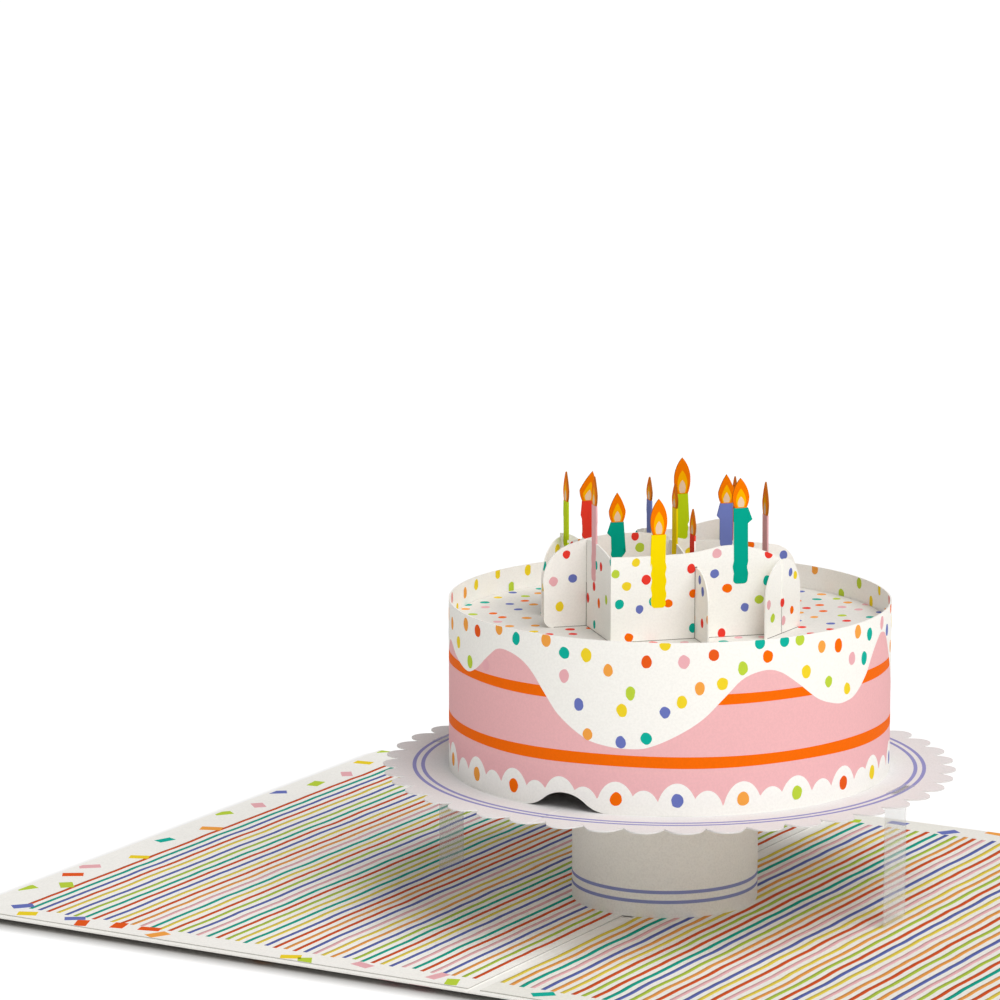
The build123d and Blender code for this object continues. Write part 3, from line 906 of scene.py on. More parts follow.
class DotTree(PrintTree):
    """Geometry Nodes that turn loose points into printed dots with a few straight sides."""

    waver_scale = 620.0

    def __init__(self, palette: Sequence[Ink]) -> None:
        """Build the tree, whose dots waver within their own plane as hand painted ones do.

        Args:
            palette: The inks that its points may carry.
        """
        inputs = {"Sides": "Int", "Thickness": "Float", "Unevenness": "Float"}
        super().__init__("dots", "Points", inputs, palette)
        graph, start = self.graph, self.start.outputs
        sizes = {"Vertices": start["Sides"], "Radius": 0.5, "Depth": start["Thickness"]}
        pad = graph.node("GeometryNodeMeshCylinder", sizes, fill_type="NGON")
        quarter = (0.0, 0.0, math.pi / 4)
        turned = graph.node("GeometryNodeTransform", {"Geometry": pad, "Rotation": quarter})
        outward = self.read("outward")
        facing = graph.node("FunctionNodeAlignRotationToVector", {"Vector": outward}, axis="Z")
        upright = graph.node(
            "FunctionNodeAlignRotationToVector",
            {"Rotation": facing, "Vector": self.read("upward")},
            axis="Y",
            pivot_axis="Z",
        )
        placing = {
            "Points": start["Points"],
            "Instance": turned,
            "Rotation": upright,
            "Scale": self.read("spread"),
        }
        placed = graph.node("GeometryNodeInstanceOnPoints", placing)
        cloud = self.noise(self.waver_scale, 1.0).outputs["Color"]
        push = graph.vector("SUBTRACT", cloud, (0.5, 0.5, 0.5))
        depth = graph.vector("DOT_PRODUCT", push, outward).outputs["Value"]
        flat = graph.vector("SUBTRACT", push, graph.vector("SCALE", outward, depth))
        self.close(placed, graph.vector("SCALE", flat, start["Unevenness"]))

    def piece(self, name: str, dots: Sequence[Dot], slot: str, fleck: bool = False) -> None:
        """Print a set of dots.

        Args:
            name: Name of the piece.
            dots: The dots.
            slot: Passed on to the pieces, which don't use it.
            fleck: True for rectangular confetti, False for ovals.
        """
        sides, thickness, uneven = (4, 0.032, 0.0) if fleck else (20, 0.02, 0.5)
        dots = self._trimmed(name, dots, slot, fleck, thickness)
        mesh = self.loose(name, [dot.place for dot in dots], [], [dot.ink for dot in dots])
        for key, values in (
            ("outward", [dot.outward for dot in dots]),
            ("upward", [dot.upward for dot in dots]),
            ("spread", [Vector((dot.width * MM, dot.height * MM, 1.0)) for dot in dots]),
        ):
            store = mesh.attributes.new(key, "FLOAT_VECTOR", "POINT")
            store.data.foreach_set("vector", [part for value in values for part in value])
        sizes = {"Sides": sides, "Thickness": thickness * MM, "Unevenness": uneven * MM}
        self.grow(mesh, sizes, name, slot)

    @staticmethod
    def _trimmed(
        name: str, dots: Sequence[Dot], slot: str, fleck: bool, thickness: float
    ) -> list[Dot]:
        """Print the dots that a cut edge crosses, and drop those whose middle is off the sheet.

        Args:
            name: Name of the piece.
            dots: The dots.
            slot: The record's slot.
            fleck: True for rectangular confetti.
            thickness: Thickness of the ink in millimetres.

        Returns:
            The whole dots, which are still to be printed.
        """
        trims = {sheet: Trim(sheet) for sheet in {dot.sheet for dot in dots}}
        whole, solid = [], Solid()
        for dot in dots:
            if trims[dot.sheet].holds(dot.place, dot.outward.normalized()):
                corners, cut = trims[dot.sheet].outline(dot, fleck)
                if cut:
                    depth = dot.outward.normalized() * thickness * MM
                    near = [corner - depth / 2 for corner in corners]
                    solid.prism(near, depth, Printed(dot.ink))
                else:
                    whole.append(dot)
        if solid.inks:
            solid.piece(f"{name}_cut", slot)
        return whole


class StripeTree(PrintTree):
    """Geometry Nodes that turn straight lines into wavering ribbons of ink."""

    samples = 84
    waver_scale = 70.0
    swell_scale = 260.0
    swell_share = 0.7
    least_share = 0.65
    depth = 0.016

    def __init__(self, palette: Sequence[Ink]) -> None:
        """Build the tree.

        Args:
            palette: The inks that its lines may carry.
        """
        super().__init__("stripes", "Lines", {"Wobble": "Float", "Width": "Float"}, palette)
        graph, start = self.graph, self.start.outputs
        curves = graph.node("GeometryNodeMeshToCurve", {"Mesh": start["Lines"]})
        fine = graph.node("GeometryNodeResampleCurve", {"Curve": curves, "Count": self.samples})
        cloud = self.noise(self.waver_scale, 2.0).outputs["Color"]
        centred = graph.vector("SUBTRACT", cloud, (0.5, 0.5, 0.5))
        aside = graph.vector("MULTIPLY", centred, (1.0, 0.0, 0.0))
        moved = self.shifted(fine, graph.vector("SCALE", aside, start["Wobble"]))
        swell = {0: self.noise(self.swell_scale, 1.0), 1: self.swell_share, 2: self.least_share}
        radius = graph.node("ShaderNodeMath", swell, operation="MULTIPLY_ADD")
        widened = graph.node("GeometryNodeSetCurveRadius", {"Curve": moved, "Radius": radius})
        level = graph.node("GeometryNodeSetCurveNormal", {"Curve": widened}, mode="Z_UP")
        section = {"Width": start["Width"], "Height": self.depth * MM}
        profile = graph.node("GeometryNodeCurvePrimitiveQuadrilateral", section, mode="RECTANGLE")
        sweep = {"Curve": level, "Profile Curve": profile, "Fill Caps": True}
        self.close(graph.node("GeometryNodeCurveToMesh", sweep))


def spread_out(
    rng: random.Random,
    low: Point,
    high: Point,
    spacing: float,
    allowed: Callable[[float, float], bool],
    tries: int,
) -> list[Point]:
    """Scatter places evenly over an area, as a hand would.

    Args:
        rng: Source of chance with a fixed seed.
        low: Lower corner of the area.
        high: Upper corner.
        spacing: The least distance between two places.
        allowed: Says whether a place may be used.
        tries: How many places are tried.

    Returns:
        The places.
    """
    kept: list[Point] = []
    for _ in range(tries):
        a, b = rng.uniform(low[0], high[0]), rng.uniform(low[1], high[1])
        if allowed(a, b) and all(math.dist((a, b), other) >= spacing for other in kept):
            kept.append((a, b))
    return kept


class InkDeck:
    """Deals inks so that no two in a row are the same."""

    def __init__(self, rng: random.Random, dealt: Sequence[Ink]) -> None:
        """Keep the source of chance and the inks."""
        self.rng = rng
        self.inks = dealt
        self.last: Ink | None = None

    def deal(self) -> Ink:
        """The next ink."""
        self.last = self.rng.choice([ink for ink in self.inks if ink is not self.last])
        return self.last


def smooth_between(stops: Sequence[Point]) -> Curve:
    """Smooth curve through a few points, level at its two ends.

    Args:
        stops: Places and heights, in order.

    Returns:
        The height at any place.
    """
    pairs = zip(stops, stops[2:])
    inner = [(after[1] - before[1]) / (after[0] - before[0]) for before, after in pairs]
    slopes = [0.0, *inner, 0.0]

    def height(place: float) -> float:
        """Height at one place."""
        if place <= stops[0][0]:
            return stops[0][1]
        for index, ((a, low), (b, high)) in enumerate(zip(stops, stops[1:])):
            if place <= b:
                span = b - a
                t = (place - a) / span
                back = 1 - t
                ends = low * back * back * (1 + 2 * t) + high * t * t * (3 - 2 * t)
                return ends + span * t * back * (back * slopes[index] - t * slopes[index + 1])
        return stops[-1][1]

    return height


@dataclass
class Drum:
    """Side of the cake: pink print, orange bands, dripping icing and piping at its foot.

    Places round the drum are angles in degrees from the reader's side towards +X.
    """

    levels: Levels
    dots: DotTree
    steps: int = 1080
    pink_proud: float = 0.012
    band_proud: float = 0.02
    icing_proud: float = 0.028
    ink_depth: float = 0.016
    bands: tuple[Point, ...] = ((54.7, 57.0), (41.0, 43.5))
    band_waver: float = 0.12
    lobes: int = 23
    big_lobe: float = 7.2
    small_lobe: float = 5.55
    big_share: float = 5.3
    small_share: float = 4.25
    between_lobes: float = 1.0
    big_shifts: tuple[float, ...] = (
        -0.4, -0.95, -1.2, 0.0, -0.5, 0.1, -1.2, 0.6, -0.4, 0.5, -0.8, 0.3, 0.7, -0.5, 0.2, -0.7,
        0.4, 0.8, -0.3, 0.5, -1.0, 0.7, 0.55,
    )
    small_shifts: tuple[float, ...] = (
        -1.6, -1.7, -1.4, 0.0, -0.1, 0.4, -0.6, 0.5, -0.9, 0.8, -0.4, 0.6, 0.2, -1.0, 0.7, -0.2,
        0.9, -0.5, 0.3, -0.8, 0.6, 0.4, 0.1,
    )
    piping_inks: tuple[Ink, ...] = inks(
        "ORANGE BLUE LIGHT_ORANGE LIME ORANGE_RED YELLOW BLUE LIME LIGHT_ORANGE TEAL ORANGE "
        "YELLOW PINK BLUE ORANGE_RED LIME LIGHT_ORANGE YELLOW BLUE LIGHT_ORANGE LIGHT_ORANGE "
        "ORANGE"
    )
    piping_dot: tuple[float, float, float] = (3.4, 2.6, 3.1)
    arch_width: float = 20.35
    arch_height: float = 3.75
    arch_shift: float = 0.5
    dot_spacing: float = 5.5
    dot_widths: Point = (2.1, 2.5)
    dot_heights: Point = (2.55, 3.05)
    dot_clear: float = 1.7
    rim_clear: float = 0.3
    gap: float = 3.0
    tries: int = 3600
    seed: int = 41
    drip_low: float = 44.9
    drips: tuple[Point, ...] = (
        (-180, 50.0), (-172, 56.5), (-164, 61.2), (-155, 55.0), (-146, 47.8), (-136, 53.0),
        (-126, 60.3), (-115, 53.0), (-104, 45.8), (-94, 50.5), (-86, 59.5), (-79, 61.8),
        (-72, 58.0), (-66, 54.6), (-61, 54.2), (-56, 57.4), (-51.5, 60.2), (-44, 57.7), (-36, 55.9),
        (-31.1, 57.2), (-24.7, 61.2), (-21.4, 63.0), (-17.7, 63.2), (-12.8, 62.0), (-9.1, 59.7),
        (-5.3, 55.7), (-1, 51.2), (6.5, 46.7), (11.9, 45.4), (17.3, 45.0), (22.6, 45.4),
        (30.2, 48.2), (36.6, 51.7), (42, 56.2), (46.8, 60.0), (52.8, 61.5), (57.1, 60.7),
        (62.4, 57.7), (68.9, 53.7), (75.3, 51.9), (78.6, 51.8), (82.9, 52.7), (88.2, 56.2),
        (92.5, 60.7), (96.8, 63.7), (99, 64.0), (102.2, 63.0), (106.5, 58.2), (112, 52.0),
        (118, 47.8), (124, 47.6), (131, 53.0), (139, 60.6), (146, 60.6), (153, 56.0), (160, 54.4),
        (166, 58.0), (171, 60.0), (175, 56.0), (180, 50.0),
    )
    sprinkles: tuple[Spot, ...] = listed(
        "-56.8 64.9 LIGHT_ORANGE  -49.0 64.2 LIGHT_ORANGE  -42.4 61.1 YELLOW  "
        "-36.9 66.0 LIGHT_ORANGE  -34.4 58.1 LIME  -30.2 65.6 ORANGE_RED  -26.2 58.7 PINK  "
        "-20.6 67.5 LIGHT_ORANGE  -14.3 66.2 TEAL  -4.6 67.0 LIGHT_ORANGE  0.7 64.7 TEAL  "
        "0.7 59.7 PINK  4.8 53.9 BLUE  6.8 64.7 YELLOW  7.2 47.6 LIGHT_ORANGE  "
        "12.6 61.8 LIGHT_ORANGE  15.9 46.4 BLUE  16.1 53.3 YELLOW  18.3 57.1 LIME  "
        "22.3 64.0 ORANGE_RED  22.3 47.4 TEAL  26.9 67.9 YELLOW  27.0 53.2 BLUE  31.1 55.4 YELLOW  "
        "31.6 64.1 PINK  35.6 58.3 LIGHT_ORANGE  39.1 65.4 ORANGE_RED  41.3 59.2 YELLOW  "
        "46.6 62.3 LIME  51.1 67.5 TEAL  53.3 64.4 ORANGE  58.0 67.4 TEAL  62.6 67.3 LIME  "
        "64.7 60.1 YELLOW  69.7 65.0 LIGHT_ORANGE  72.3 57.1 LIME  75.8 64.5 ORANGE  "
        "79.5 54.6 YELLOW  81.5 60.9 PINK  84.0 66.4 LIGHT_ORANGE  87.3 60.1 TEAL  90.2 65.0 TEAL  "
        "98.7 66.0 PINK  104.0 63.6 BLUE"
    )

    def arch(self, angle: float) -> float:
        """Height of the lower edge of the wall, which rises in a bell shape over the fold."""
        away = abs(self.levels.drum_radius * math.sin(math.radians(angle)) - self.arch_shift)
        half, rise = self.arch_width / 2, self.arch_height
        if away >= half:
            return self.levels.plate_top
        bend = (half * half / 4 + rise * rise / 4) / rise
        if away < half / 2:
            return self.levels.plate_top + rise - bend + math.sqrt(bend * bend - away * away)
        return self.levels.plate_top + bend - math.sqrt(bend * bend - (half - away) ** 2)

    def piping(self, angle: float) -> float:
        """Height of the piping's scalloped top."""
        period = 360 / self.lobes
        nearest = round(angle / period)
        rise = self.between_lobes
        for number in (nearest - 1, nearest, nearest + 1):
            which = number % self.lobes
            big = number * period + self.big_shifts[which]
            small = (number + 0.5) * period + self.small_shifts[which]
            for middle, tall, half in (
                (big, self.big_lobe, self.big_share),
                (small, self.small_lobe, self.small_share),
            ):
                away = (angle - middle) / half
                rise = max(rise, tall * math.sqrt(max(0.0, 1 - away * away)))
        return self.levels.plate_top + rise

    def coat(self, solid: Solid, ink: Ink, proud: float, low: Curve, high: Curve) -> None:
        """Thin shell of ink round the drum.

        Args:
            solid: The mesh it goes into.
            ink: Its ink.
            proud: How far it stands off the card.
            low: Height of its lower edge at each angle.
            high: Height of its upper edge.
        """
        outer = self.levels.drum_radius + proud
        inner = outer - self.ink_depth

        def section(angle: float) -> list[Point]:
            """Corners of the shell at one angle."""
            bottom, top = low(angle), high(angle)
            return [(outer, bottom), (outer, top), (inner, top), (inner, bottom)]

        solid.hoop(Field(ink), section, self.steps, -180)

    def band_edge(self, height: float, waves: int, start: float) -> Curve:
        """Edge of a band, which wavers round the drum."""
        waver = self.band_waver
        return lambda angle: height + waver * math.sin(math.radians(waves * angle + start))

    def build(self) -> None:
        """Lay every print of the drum."""
        rim = self.levels.drum_rim

        def scallops(angle: float) -> float:
            """Height of the piping's top, which stays above the wall's lower edge."""
            return max(self.piping(angle), self.arch(angle) + 0.1)

        drip = smooth_between(self.drips)
        pink, bands, icing = Solid(), Solid(), Solid()
        self.coat(pink, Ink.CAKE_PINK, self.pink_proud, self.arch, lambda angle: rim)
        for low, high in self.bands:
            edges = self.band_edge(low, 7, 0), self.band_edge(high, 5, 40)
            self.coat(bands, Ink.ORANGE, self.band_proud, *edges)
        self.coat(icing, Ink.ICING, self.icing_proud, drip, lambda angle: rim)
        self.coat(icing, Ink.ICING, self.icing_proud, self.arch, scallops)
        for name, solid in (("pink", pink), ("bands", bands), ("icing", icing)):
            smooth_sides(solid.piece(f"drum_{name}", "drum_print"))
        self.icing_dots(drip)
        self.piping_dots()

    def dot(self, angle: float, height: float, ink: Ink, width: float, tall: float) -> Dot:
        """One dot on the outside of the drum."""
        place = polar(angle, self.levels.drum_radius + self.icing_proud, height)
        return Dot(place, polar(angle, 1 / MM, 0), UP, ink, width, tall, "drum_wall")

    def icing_dots(self, drip: Curve) -> None:
        """Oval sprinkles: placed on the reader's side, scattered over the rest of the icing.

        Args:
            drip: Height of the icing's lower edge at each angle.
        """
        rng = random.Random(self.seed)
        deck = InkDeck(rng, DOT_INKS)
        round_mm = math.radians(1) * self.levels.drum_radius
        rim = self.levels.drum_rim

        def allowed(arc: float, height: float) -> bool:
            """True on the icing, clear of its lower edge."""
            angle = arc / round_mm
            lower = max(drip(angle + shift) for shift in (-self.dot_clear, 0, self.dot_clear))
            return lower + self.dot_clear < height < rim - self.rim_clear

        half = 180 * round_mm
        first, last = (self.sprinkles[end][0] * round_mm for end in (0, -1))
        spots = list(self.sprinkles)
        for low, high in ((-half, first - self.gap), (last + self.gap, half)):
            corners = (low, self.drip_low), (high, rim)
            places = spread_out(rng, *corners, self.dot_spacing, allowed, self.tries)
            spots += [(arc / round_mm, height, deck.deal()) for arc, height in places]
        dots = [
            self.dot(*spot, rng.uniform(*self.dot_widths), rng.uniform(*self.dot_heights))
            for spot in spots
        ]
        self.dots.piece("drum_sprinkles", dots, "drum_print")

    def piping_dots(self) -> None:
        """One larger dot on each big scallop of the piping, except over the fold."""
        period = 360 / self.lobes
        rise, width, tall = self.piping_dot
        height = self.levels.plate_top + rise
        dots = [
            self.dot(period * number + self.big_shifts[number], height, ink, width, tall)
            for number, ink in enumerate(self.piping_inks, start=1)
            if self.arch(period * number) == self.levels.plate_top
        ]
        self.dots.piece("drum_piping_dots", dots, "drum_print")


def smooth_sides(piece: bpy.types.Object) -> None:
    """Shade the round faces of a shell smoothly, and keep its thin edges sharp."""
    mesh = piece.data
    flags = [abs(polygon.normal.z) < 0.5 for polygon in mesh.polygons]
    mesh.polygons.foreach_set("use_smooth", flags)
    mesh.set_sharp_from_angle(angle=math.radians(35))


@dataclass
class Top:
    """Top of the cake: round dots on the disc and on the inside of the wall above it."""

    levels: Levels
    dots: DotTree
    seed: int = 17
    spacing: float = 4.4
    dot_size: float = 2.0
    tries: int = 5200
    edge: float = 0.5
    wall_spacing: float = 6.0
    wall_dot: Point = (2.1, 2.5)
    wall_margin: float = 0.2
    wall_tries: int = 1600
    lift: float = 0.01

    def build(self) -> None:
        """Lay the dots."""
        rng = random.Random(self.seed)
        deck = InkDeck(rng, DOT_INKS)
        reach, ahead = self.levels.drum_radius - self.edge, Vector((0, 1, 0))
        level = self.levels.disc_top + self.lift

        def on_disc(x: float, y: float) -> bool:
            """True on the disc."""
            return math.hypot(x, y) < reach

        corners = (-reach, -reach), (reach, reach)
        dots = []
        for x, y in spread_out(rng, *corners, self.spacing, on_disc, self.tries):
            ink = deck.deal()
            width, tall = (self.dot_size * rng.uniform(least, 1.1) for least in (0.9, 0.95))
            place = Vector((x, y, level)) * MM
            dots.append(Dot(place, UP, ahead, ink, width, tall, "drum_top"))
        inner = self.levels.drum_radius - self.levels.sheet - self.lift
        round_mm = math.radians(1) * inner
        low, high = self.levels.disc_top + self.wall_margin, self.levels.drum_rim - self.wall_margin
        corners = (-180 * round_mm, low), (180 * round_mm, high)
        step, tries = self.wall_spacing, self.wall_tries
        for arc, height in spread_out(rng, *corners, step, lambda *_: True, tries):
            turn = math.radians(arc / round_mm)
            outward = Vector((math.sin(turn), -math.cos(turn), 0))
            place = (outward * inner + Vector((0, 0, height))) * MM
            dots.append(Dot(place, -outward, UP, deck.deal(), *self.wall_dot, "drum_wall"))
        self.dots.piece("cake_top_dots", dots, "disc_print")


@dataclass
class Stand:
    """Cake stand: two fine rings on the plate and two lines round the stem."""

    levels: Levels
    rings: tuple[float, ...] = (56.3, 54.4)
    ring_width: float = 0.85
    stem_lines: tuple[float, ...] = (6.4, 4.2)
    line_width: float = 0.75
    proud: float = 0.015
    steps: int = 360

    def build(self) -> None:
        """Lay the rings and the lines."""
        plate, stem = Solid(), Solid()
        near = self.levels.plate_top
        far = near + self.proud
        for radius in self.rings:
            low, high = radius - self.ring_width / 2, radius + self.ring_width / 2
            section = ((low, near), (high, near), (high, far), (low, far))
            plate.hoop(Printed(Ink.LAVENDER), lambda angle, at=section: at, self.steps)
        plate.piece("plate_rings", "plate_print")
        near = self.levels.stem_radius
        far = near + self.proud
        for height in self.stem_lines:
            low, high = height - self.line_width / 2, height + self.line_width / 2
            section = ((near, low), (far, low), (far, high), (near, high))
            finish, middle = Printed(Ink.STEM_BLUE), self.levels.stem_middle
            stem.hoop(finish, lambda angle, at=section: at, self.steps, middle=middle)
        stem.piece("stem_lines", "stem_print")


@dataclass(frozen=True)
class Candle:
    """One candle in a tier sheet, placed as its silhouette in the sheet is.

    share is its place as a share of the tier's half width, wick the height of its top above
    the crest, flame the flame's height and foot the depth of its print below the crest. Each
    drip is a side, a drop and a reach.
    """

    share: float
    wick: float
    flame: float
    foot: float
    ink: Ink
    drips: tuple[tuple[int, float, float], ...] = ()
    lean: float = 0.0
    width: float = 3.2
    cheek: float = 0.6


@dataclass(frozen=True)
class TierSheet:
    """One straight side, divider or cap of the tier, with what is printed on it."""

    name: str
    node: str
    slot: str
    origin: Vector
    along: Vector
    facing: Vector
    low: float
    high: float
    crest: Curve
    candles: tuple[Candle, ...]
    seed: int
    placed: tuple[Spot, ...] = ()
    crossing: float | None = None
    crease: float | None = None
    foot_inset: float = 0.3
    bare_above: float = math.inf

    def at(self, x: float, z: float, out: float) -> Vector:
        """Point from its place along the sheet, its height and its depth."""
        return (self.origin + self.along * x + self.facing * out + Vector((0, 0, z))) * MM


def arc_through(start: Point, middle: Point, end: Point, count: int) -> list[Point]:
    """Points along the arc through three points, without the first one.

    Args:
        start: First point.
        middle: Point between.
        end: Last point.
        count: How many points are made.

    Returns:
        The points, the last one being end.
    """
    (ax, ay), (bx, by), (cx, cy) = start, middle, end
    span = 2 * (ax * (by - cy) + bx * (cy - ay) + cx * (ay - by))
    a2, b2, c2 = ax * ax + ay * ay, bx * bx + by * by, cx * cx + cy * cy
    ox = (a2 * (by - cy) + b2 * (cy - ay) + c2 * (ay - by)) / span
    oy = (a2 * (cx - bx) + b2 * (ax - cx) + c2 * (bx - ax)) / span
    radius = math.hypot(ax - ox, ay - oy)
    first = math.atan2(ay - oy, ax - ox)
    turn_end = (math.atan2(cy - oy, cx - ox) - first) % (2 * math.pi)
    turn_middle = (math.atan2(by - oy, bx - ox) - first) % (2 * math.pi)
    if turn_middle > turn_end:
        turn_end -= 2 * math.pi
    points = []
    for step in range(1, count + 1):
        turn = first + turn_end * step / count
        points.append((ox + radius * math.cos(turn), oy + radius * math.sin(turn)))
    return points


@dataclass
class Tier:
    """Square tier: candles with flames, and small dots on every sheet.

    A tongue is a lighter part of a flame, as its width and height in shares of the flame's,
    how far its foot stands above the wick, how proud it is and its ink.
    """

    levels: Levels
    dots: DotTree
    half: float = 19.0
    height: float = 19.0
    flame_width: float = 3.7
    flame_foot: float = 2.5
    flame_belly: float = 0.38
    flame_cheek_rise: float = 0.7
    tongues: tuple[tuple[float, float, float, float, Ink], ...] = (
        (0.62, 0.64, 0.15, 0.01, Ink.FLAME_HEART),
        (0.4, 0.36, 0.2, 0.02, Ink.FLAME_CORE),
    )
    drip_fall: float = 0.8
    proud: float = 0.03
    spacing: float = 4.7
    dot_size: float = 1.95
    dot_proud: float = 0.008
    tries: int = 1500
    placed_margin: float = 3.5
    foot_round: float = 0.9
    waver: float = 0.14
    waver_step: float = 0.55
    seam_width: float = 0.13
    seam_proud: float = 0.012
    crossing_proud: float = 0.014
    crease_heights: Point = (0.2, 7.7)
    crease_sunk: float = 0.05
    cap_fold: float = 0.33
    cap_dots: tuple[Spot, ...] = listed(
        "6.7 74.6 YELLOW  4.4 75.7 BLUE  -6.9 75.9 TEAL  -5.9 70.2 PINK  -4.0 66.9 LIME  "
        "0.6 69.6 RED  5.2 67.1 ORANGE  1.2 65.5 PINK"
    )

    @property
    def crest(self) -> float:
        """Level of the crest."""
        return self.levels.disc_top + self.height

    def slab(
        self,
        solid: Solid,
        sheet: TierSheet,
        outline: Sequence[Point],
        proud: float,
        ink: Ink,
        edge: Ink | None = None,
    ) -> None:
        """Print that goes through to both faces of a sheet.

        Args:
            solid: The mesh it goes into.
            sheet: The sheet.
            outline: Corners as place along the sheet and height.
            proud: How far the print stands off the sheet's faces.
            ink: Its ink.
            edge: Ink of its narrow sides, if that differs.
        """
        half = self.levels.sheet / 2 + proud
        corners = [sheet.at(x, z, -half) for x, z in outline]
        solid.prism(corners, sheet.facing * (2 * half * MM), Printed(ink), Printed(edge or ink))

    def body_outline(self, candle: Candle) -> list[Point]:
        """Outline of a candle's wax, from its rounded printed foot to its top, drips included."""
        place, top = candle.share * self.half, self.crest + candle.wick
        foot, bend = self.crest - candle.foot, self.foot_round
        reach = candle.width / 2 + self.proud
        sides = {}
        for side in (1, -1):
            edge = []
            for step in range(7):
                turn = math.pi / 2 * step / 6
                x = reach - bend + bend * math.sin(turn)
                edge.append((place + side * x, foot + bend - bend * math.cos(turn)))
            height = foot + bend + 0.8
            while height < self.crest - 1.6:
                lean = self.waver * math.sin(2.1 * height + 1.7 * side + 5 * candle.share)
                edge.append((place + side * (reach + lean), height))
                height += self.waver_step
            drips = [drip for drip in candle.drips if drip[0] == side]
            for _, drop, out in sorted(drips, key=lambda drip: -drip[1]):
                edge.append((place + side * reach, top - drop - self.drip_fall))
                edge.append((place + side * (reach + out), top - drop))
            edge.append((place + side * reach, top + self.proud))
            sides[side] = edge
        return [*sides[1], *sides[-1][::-1]]

    def flame_outline(self, candle: Candle, size: float, tall: float, rise: float) -> list[Point]:
        """Outline of one of the flame's nested tongues.

        Args:
            candle: The candle.
            size: Its width as a share of the flame's.
            tall: Its height as a share of the flame's.
            rise: How far its foot stands above the wick, in millimetres.

        Returns:
            The outline.
        """
        place, top = candle.share * self.half, self.crest + candle.wick + rise
        height = candle.flame * tall
        foot, belly = self.flame_foot / 2 * size, self.flame_width / 2 * size
        low, cheek = self.flame_belly * height, self.flame_cheek_rise * height
        bend = (low * low + (belly - foot) ** 2) / (2 * (belly - foot))
        waist = belly - bend + math.sqrt(bend * bend - low * low / 4)
        tip = (place + candle.lean * tall, top + height)
        sides = []
        for side in (1, -1):
            widest = (place + side * belly, top + low)
            upper = (place + side * candle.cheek * belly + candle.lean * tall / 2, top + cheek)
            start, bulge = (place + side * foot, top), (place + side * waist, top + low / 2)
            sides.append(arc_through(start, bulge, widest, 6) + arc_through(widest, upper, tip, 8))
        return [(place - foot, top), (place + foot, top), *sides[0], *sides[1][-2::-1]]

    def print_candles(self, sheet: TierSheet) -> None:
        """Wax and flames of every candle on a sheet."""
        solid = Solid()
        grow = 1 + 2.4 * self.proud / self.flame_width
        for candle in sheet.candles:
            self.slab(solid, sheet, self.body_outline(candle), self.proud, candle.ink)
            flame = self.flame_outline(candle, grow, 1.0 + self.proud / 3, 0.0)
            # The flame's narrow sides carry a painted shade.
            self.slab(solid, sheet, flame, self.proud, Ink.FLAME_RIM, Ink.FLAME_EDGE)
            for size, tall, rise, proud, ink in self.tongues:
                tongue = self.flame_outline(candle, size, tall, rise)
                self.slab(solid, sheet, tongue, self.proud + proud, ink)
        solid.piece(f"{sheet.name}_candles", sheet.slot)

    def print_seams(self, sheet: TierSheet) -> None:
        """Painted shade where a sheet meets the disc and the sheet that crosses it, and in its
        crease.
        """
        base, wide = self.levels.disc_top, self.seam_width
        left, right = sheet.low + sheet.foot_inset, sheet.high - sheet.foot_inset
        strips = [(left, base, right, base + wide, self.seam_proud)]
        if sheet.crossing is not None:
            reach = self.levels.sheet / 2 + wide
            strips.append((-reach, base, reach, sheet.crossing, self.crossing_proud))
        if sheet.crease is not None:
            left, right = sheet.crease - wide, sheet.crease + wide
            low, high = (base + height for height in self.crease_heights)
            strips.append((left, low, right, high, -self.crease_sunk))
        solid = Solid()
        for left, low, right, high, proud in strips:
            outline = ((left, low), (right, low), (right, high), (left, high))
            # Each strip is a painted shade line.
            self.slab(solid, sheet, outline, proud, Ink.SEAM)
        solid.piece(f"{sheet.name}_seams", sheet.slot)

    def sheet_dots(self, sheet: TierSheet) -> list[Dot]:
        """Dots on both faces of a sheet, cut by its edges and partly covered by its candles.

        Args:
            sheet: The sheet.

        Returns:
            The dots.
        """
        rng = random.Random(sheet.seed)
        deck = InkDeck(rng, DOT_INKS)
        made = []
        depth = self.levels.sheet / 2 + self.dot_proud
        corners = (sheet.low, self.levels.disc_top), (sheet.high, self.crest + 2)
        places = [x for x, _, _ in sheet.placed] or [0.0]
        span = (min(places) - self.placed_margin, max(places) + self.placed_margin)
        for side in (1, -1):
            placed = sheet.placed if side > 0 else ()

            def allowed(x: float, z: float, side: int = side, free: bool = not placed) -> bool:
                """True under the upper edge, beside the placed dots."""
                top = min(sheet.crest(x) + 0.4, sheet.bare_above if side > 0 else math.inf)
                return z < top and (free or not span[0] < x < span[1])

            scattered = spread_out(rng, *corners, self.spacing, allowed, self.tries)
            spots = [(x, z, deck.deal()) for x, z in scattered]
            for x, z, ink in (*placed, *spots):
                place = sheet.at(x, z, side * depth)
                width = self.dot_size * rng.uniform(0.88, 1.08)
                tall = self.dot_size * rng.uniform(0.95, 1.15)
                made.append(Dot(place, sheet.facing * side, UP, ink, width, tall, sheet.node))
        return made

    def build(self) -> None:
        """Print every sheet of the tier."""
        by_slot: dict[str, list[Dot]] = {}
        for sheet in self.sheets():
            if sheet.candles:
                self.print_candles(sheet)
            self.print_seams(sheet)
            by_slot.setdefault(sheet.slot, []).extend(self.sheet_dots(sheet))
        for slot, dots in by_slot.items():
            self.dots.piece(f"{slot}_dots", dots, slot)

    def sheets(self) -> list[TierSheet]:
        """Every straight side of the tier, its dividers and its caps."""
        right = Vector((1, 1, 0)).normalized()
        front = Vector((1, -1, 0)).normalized()
        half, crest = self.half, self.crest
        edge = half + 0.15

